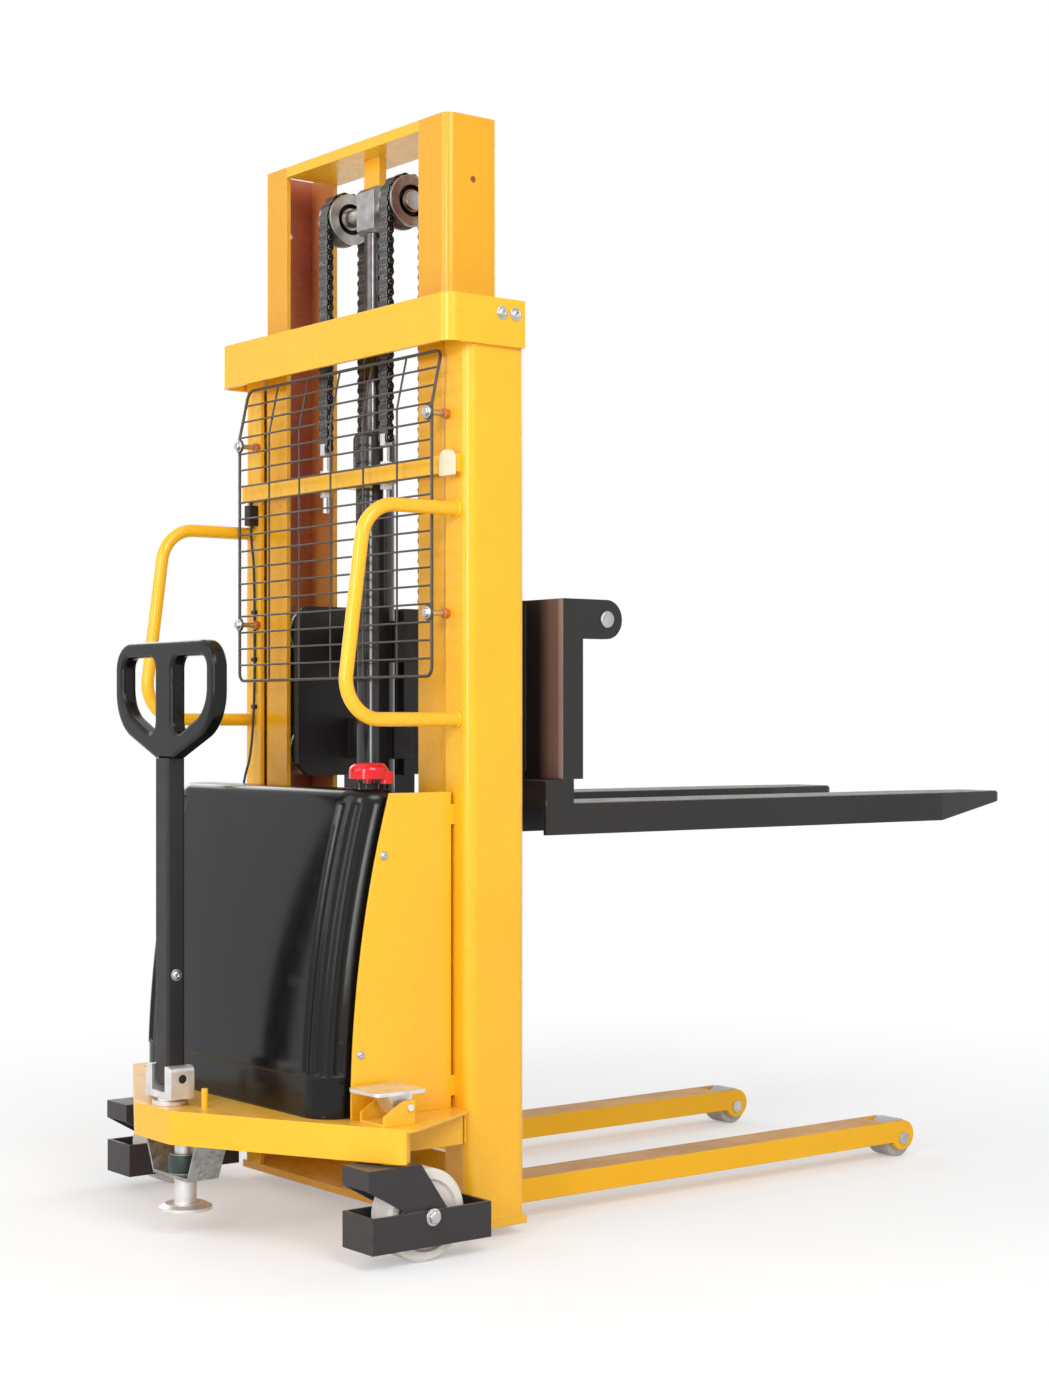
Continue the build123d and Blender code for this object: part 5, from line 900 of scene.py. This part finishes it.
# Weld beads: rippled fillets where plates meet. Runs are drawn on the right side in millimetres, and
# each has a bead radius
HANDLE_FEET = ((352.0, -1.5, 928.0), (352.0, -1.5, 1303.0))
HANDLE_WELD = (13.0, 3.0)
CHASSIS_WELDS = (
    ((218.0, 146.0, 78.0), (297.0, 146.0, 78.0), 4.0),
    ((371.0, -1.0, 178.0), (371.0, -1.0, 228.0), 2.5),
    ((377.0, -1.0, 178.0), (377.0, -1.0, 228.0), 2.5),
    ((320.0, 0.0, 1368.0), (362.0, 0.0, 1368.0), 3.0),
    ((320.0, 0.0, 1400.0), (362.0, 0.0, 1400.0), 3.0),
    ((216.0, 146.0, 36.0), (216.0, 146.0, 76.0), 3.0),
    ((299.0, 146.0, 36.0), (299.0, 146.0, 76.0), 3.0),
)
CARRIAGE_WELDS = (
    ((181.0, 280.0, 773.0), (334.0, 280.0, 773.0), 4.0),
    ((205.0, 256.0, 828.0), (205.0, 256.0, 1146.0), 3.0),
    ((221.0, 256.0, 828.0), (221.0, 256.0, 1146.0), 3.0),
    ((193.5, 280.0, 820.0), (193.5, 280.0, 1150.0), 3.0),
    ((321.5, 280.0, 820.0), (321.5, 280.0, 1150.0), 3.0),
)
BEAD_STEP = 0.003
BEAD_SIDES = 8
BEAD_SHARP = 60.0
RIPPLE_SHARE = 0.10
RIPPLE_TURN = 1.9
ROUND_BEAD_STEPS = 36


def bead(shape, points, radius, closed=False):
    """Rippled bead along straight runs between points in drawn millimetres."""
    ends = [drawn(*point) for point in points]
    if closed:
        ends.append(ends[0])
    path = []
    for first, second in zip(ends, ends[1:]):
        count = max(1, round((second - first).length / BEAD_STEP))
        path += [first.lerp(second, index / count) for index in range(count)]
    if not closed:
        path.append(ends[-1])
    ripples = [1.0 + RIPPLE_SHARE * math.sin(index * RIPPLE_TURN) for index in range(len(path))]
    tube(shape, path, [radius / MM * ripple for ripple in ripples], BEAD_SIDES, closed)


def round_bead(shape, at, radius, size):
    """Bead round a bar that meets a face square to Y."""
    x, y, z = at
    circle = []
    for step in range(ROUND_BEAD_STEPS):
        turn = 2 * math.pi * step / ROUND_BEAD_STEPS
        circle.append((x + radius * math.cos(turn), y, z + radius * math.sin(turn)))
    bead(shape, circle, size, closed=True)


def straight_beads(shape, side, welds):
    """Straight beads on the right side, or mirrored on the left."""
    for first, second, radius in welds:
        bead(shape, [(side * x, y, z) for x, y, z in (first, second)], radius)


chassis_beads = bmesh.new()
fork_beads = bmesh.new()
for side in (1, -1):
    for x, y, z in HANDLE_FEET:
        round_bead(chassis_beads, (side * x, y, z), *HANDLE_WELD)
    straight_beads(chassis_beads, side, CHASSIS_WELDS)
    straight_beads(fork_beads, side, CARRIAGE_WELDS)
frame_beads = finished("frame_weld_beads", chassis_beads, yellow, BEAD_SHARP)
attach(frame_beads, "chassis")
carriage_beads = finished("carriage_weld_beads", fork_beads, black, BEAD_SHARP)
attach(carriage_beads, "carriage")

# Studio: a pale floor that fades into the white background with the distance in metres, and soft lamps
WHITE = (1, 1, 1, 1)
FLOOR_SIZE = 120.0
FLOOR_TONES = (colour(244, 244, 244), colour(238, 238, 238))
FLOOR_CLOUDS = 2.0
FLOOR_FADE = (1.0, 2.6)
FLOOR_WHITE = (0.35, 1.0)
WORLD_LIGHT = 0.48
WORLD_SEEN = 1.0
# Name, place, aim, width and watts of each lamp, and the height of a strip
LAMPS = (
    ("key", (3.6, -1.2, 3.4), (0, -0.3, 0.9), 2.4, 94),
    ("fill", (-0.8, -4.4, 2.6), (0, -0.4, 0.8), 3.0, 46),
    ("strip", (1.9, -3.9, 1.7), (0, -0.8, 0.6), 0.80, 60, 2.2),
    ("back", (-0.6, 4.4, 3.2), (0, 0, 1.0), 2.6, 60),
    ("side", (-4.2, -0.2, 2.6), (0, 0, 0.9), 2.4, 46),
)


def floor_material():
    material, tree, shader = start("floor")
    fill(tree, shader, {
        "Base Color": mix(tree, noise(tree, FLOOR_CLOUDS), *FLOOR_TONES),
        "Roughness": 0.8,
        "Specular IOR Level": 0.1,
    })
    coords = add_node(tree, "ShaderNodeTexCoord").outputs["Object"]
    away = add_node(tree, "ShaderNodeVectorMath", {0: coords}, operation="LENGTH").outputs["Value"]
    share = multiply(tree, remap(tree, away, *FLOOR_FADE, *FLOOR_WHITE), background_rays(tree))
    white = add_node(tree, "ShaderNodeEmission", {"Color": WHITE, "Strength": 1.0}).outputs[0]
    blend = add_node(tree, "ShaderNodeMixShader", {0: share, 1: shader.outputs[0], 2: white}).outputs[0]
    tree.links.new(blend, tree.nodes["Material Output"].inputs["Surface"])
    return material


def lamp(name, at, aim, size, power, tall=None):
    """Round lamp, or an upright strip when a height is given."""
    light = bpy.data.lights.new(name, "AREA")
    light.shape = "RECTANGLE" if tall else "DISK"
    light.size = size
    light.size_y = tall or size
    light.energy = power
    obj = bpy.data.objects.new(name, light)
    bpy.context.scene.collection.objects.link(obj)
    obj.location = at
    obj.rotation_euler = (Vector(aim) - Vector(at)).to_track_quat("-Z", "Y").to_euler()


bpy.ops.mesh.primitive_plane_add(size=FLOOR_SIZE)
floor = bpy.context.object
floor.name = "floor"
floor.data.materials.append(floor_material())

world = bpy.data.worlds.new("studio")
bpy.context.scene.world = world
world.use_nodes = True
sky = world.node_tree
strength = remap(sky, background_rays(sky), 0.0, 1.0, WORLD_LIGHT, WORLD_SEEN)
fill(sky, sky.nodes["Background"], {"Color": WHITE, "Strength": strength})
for values in LAMPS:
    lamp(*values)

# Camera: level, behind the operator's right shoulder
CAMERA_AT = (3.660, -2.967, 0.924)
CAMERA_TURN = 52.17
FOCAL_PIXELS = 2300.0
PICTURE_HEIGHT = 1393.0
SENSOR = 36.0
HORIZON_SHIFT = 0.018
camera = bpy.data.cameras.new("camera")
camera.sensor_width = SENSOR
camera.lens = FOCAL_PIXELS * SENSOR / PICTURE_HEIGHT
camera.shift_y = HORIZON_SHIFT
eye = bpy.data.objects.new("camera", camera)
bpy.context.scene.collection.objects.link(eye)
eye.location = CAMERA_AT
eye.rotation_euler = (math.radians(90), 0, math.radians(CAMERA_TURN))
bpy.context.scene.camera = eye

bpy.context.scene.view_settings.view_transform = "Standard"
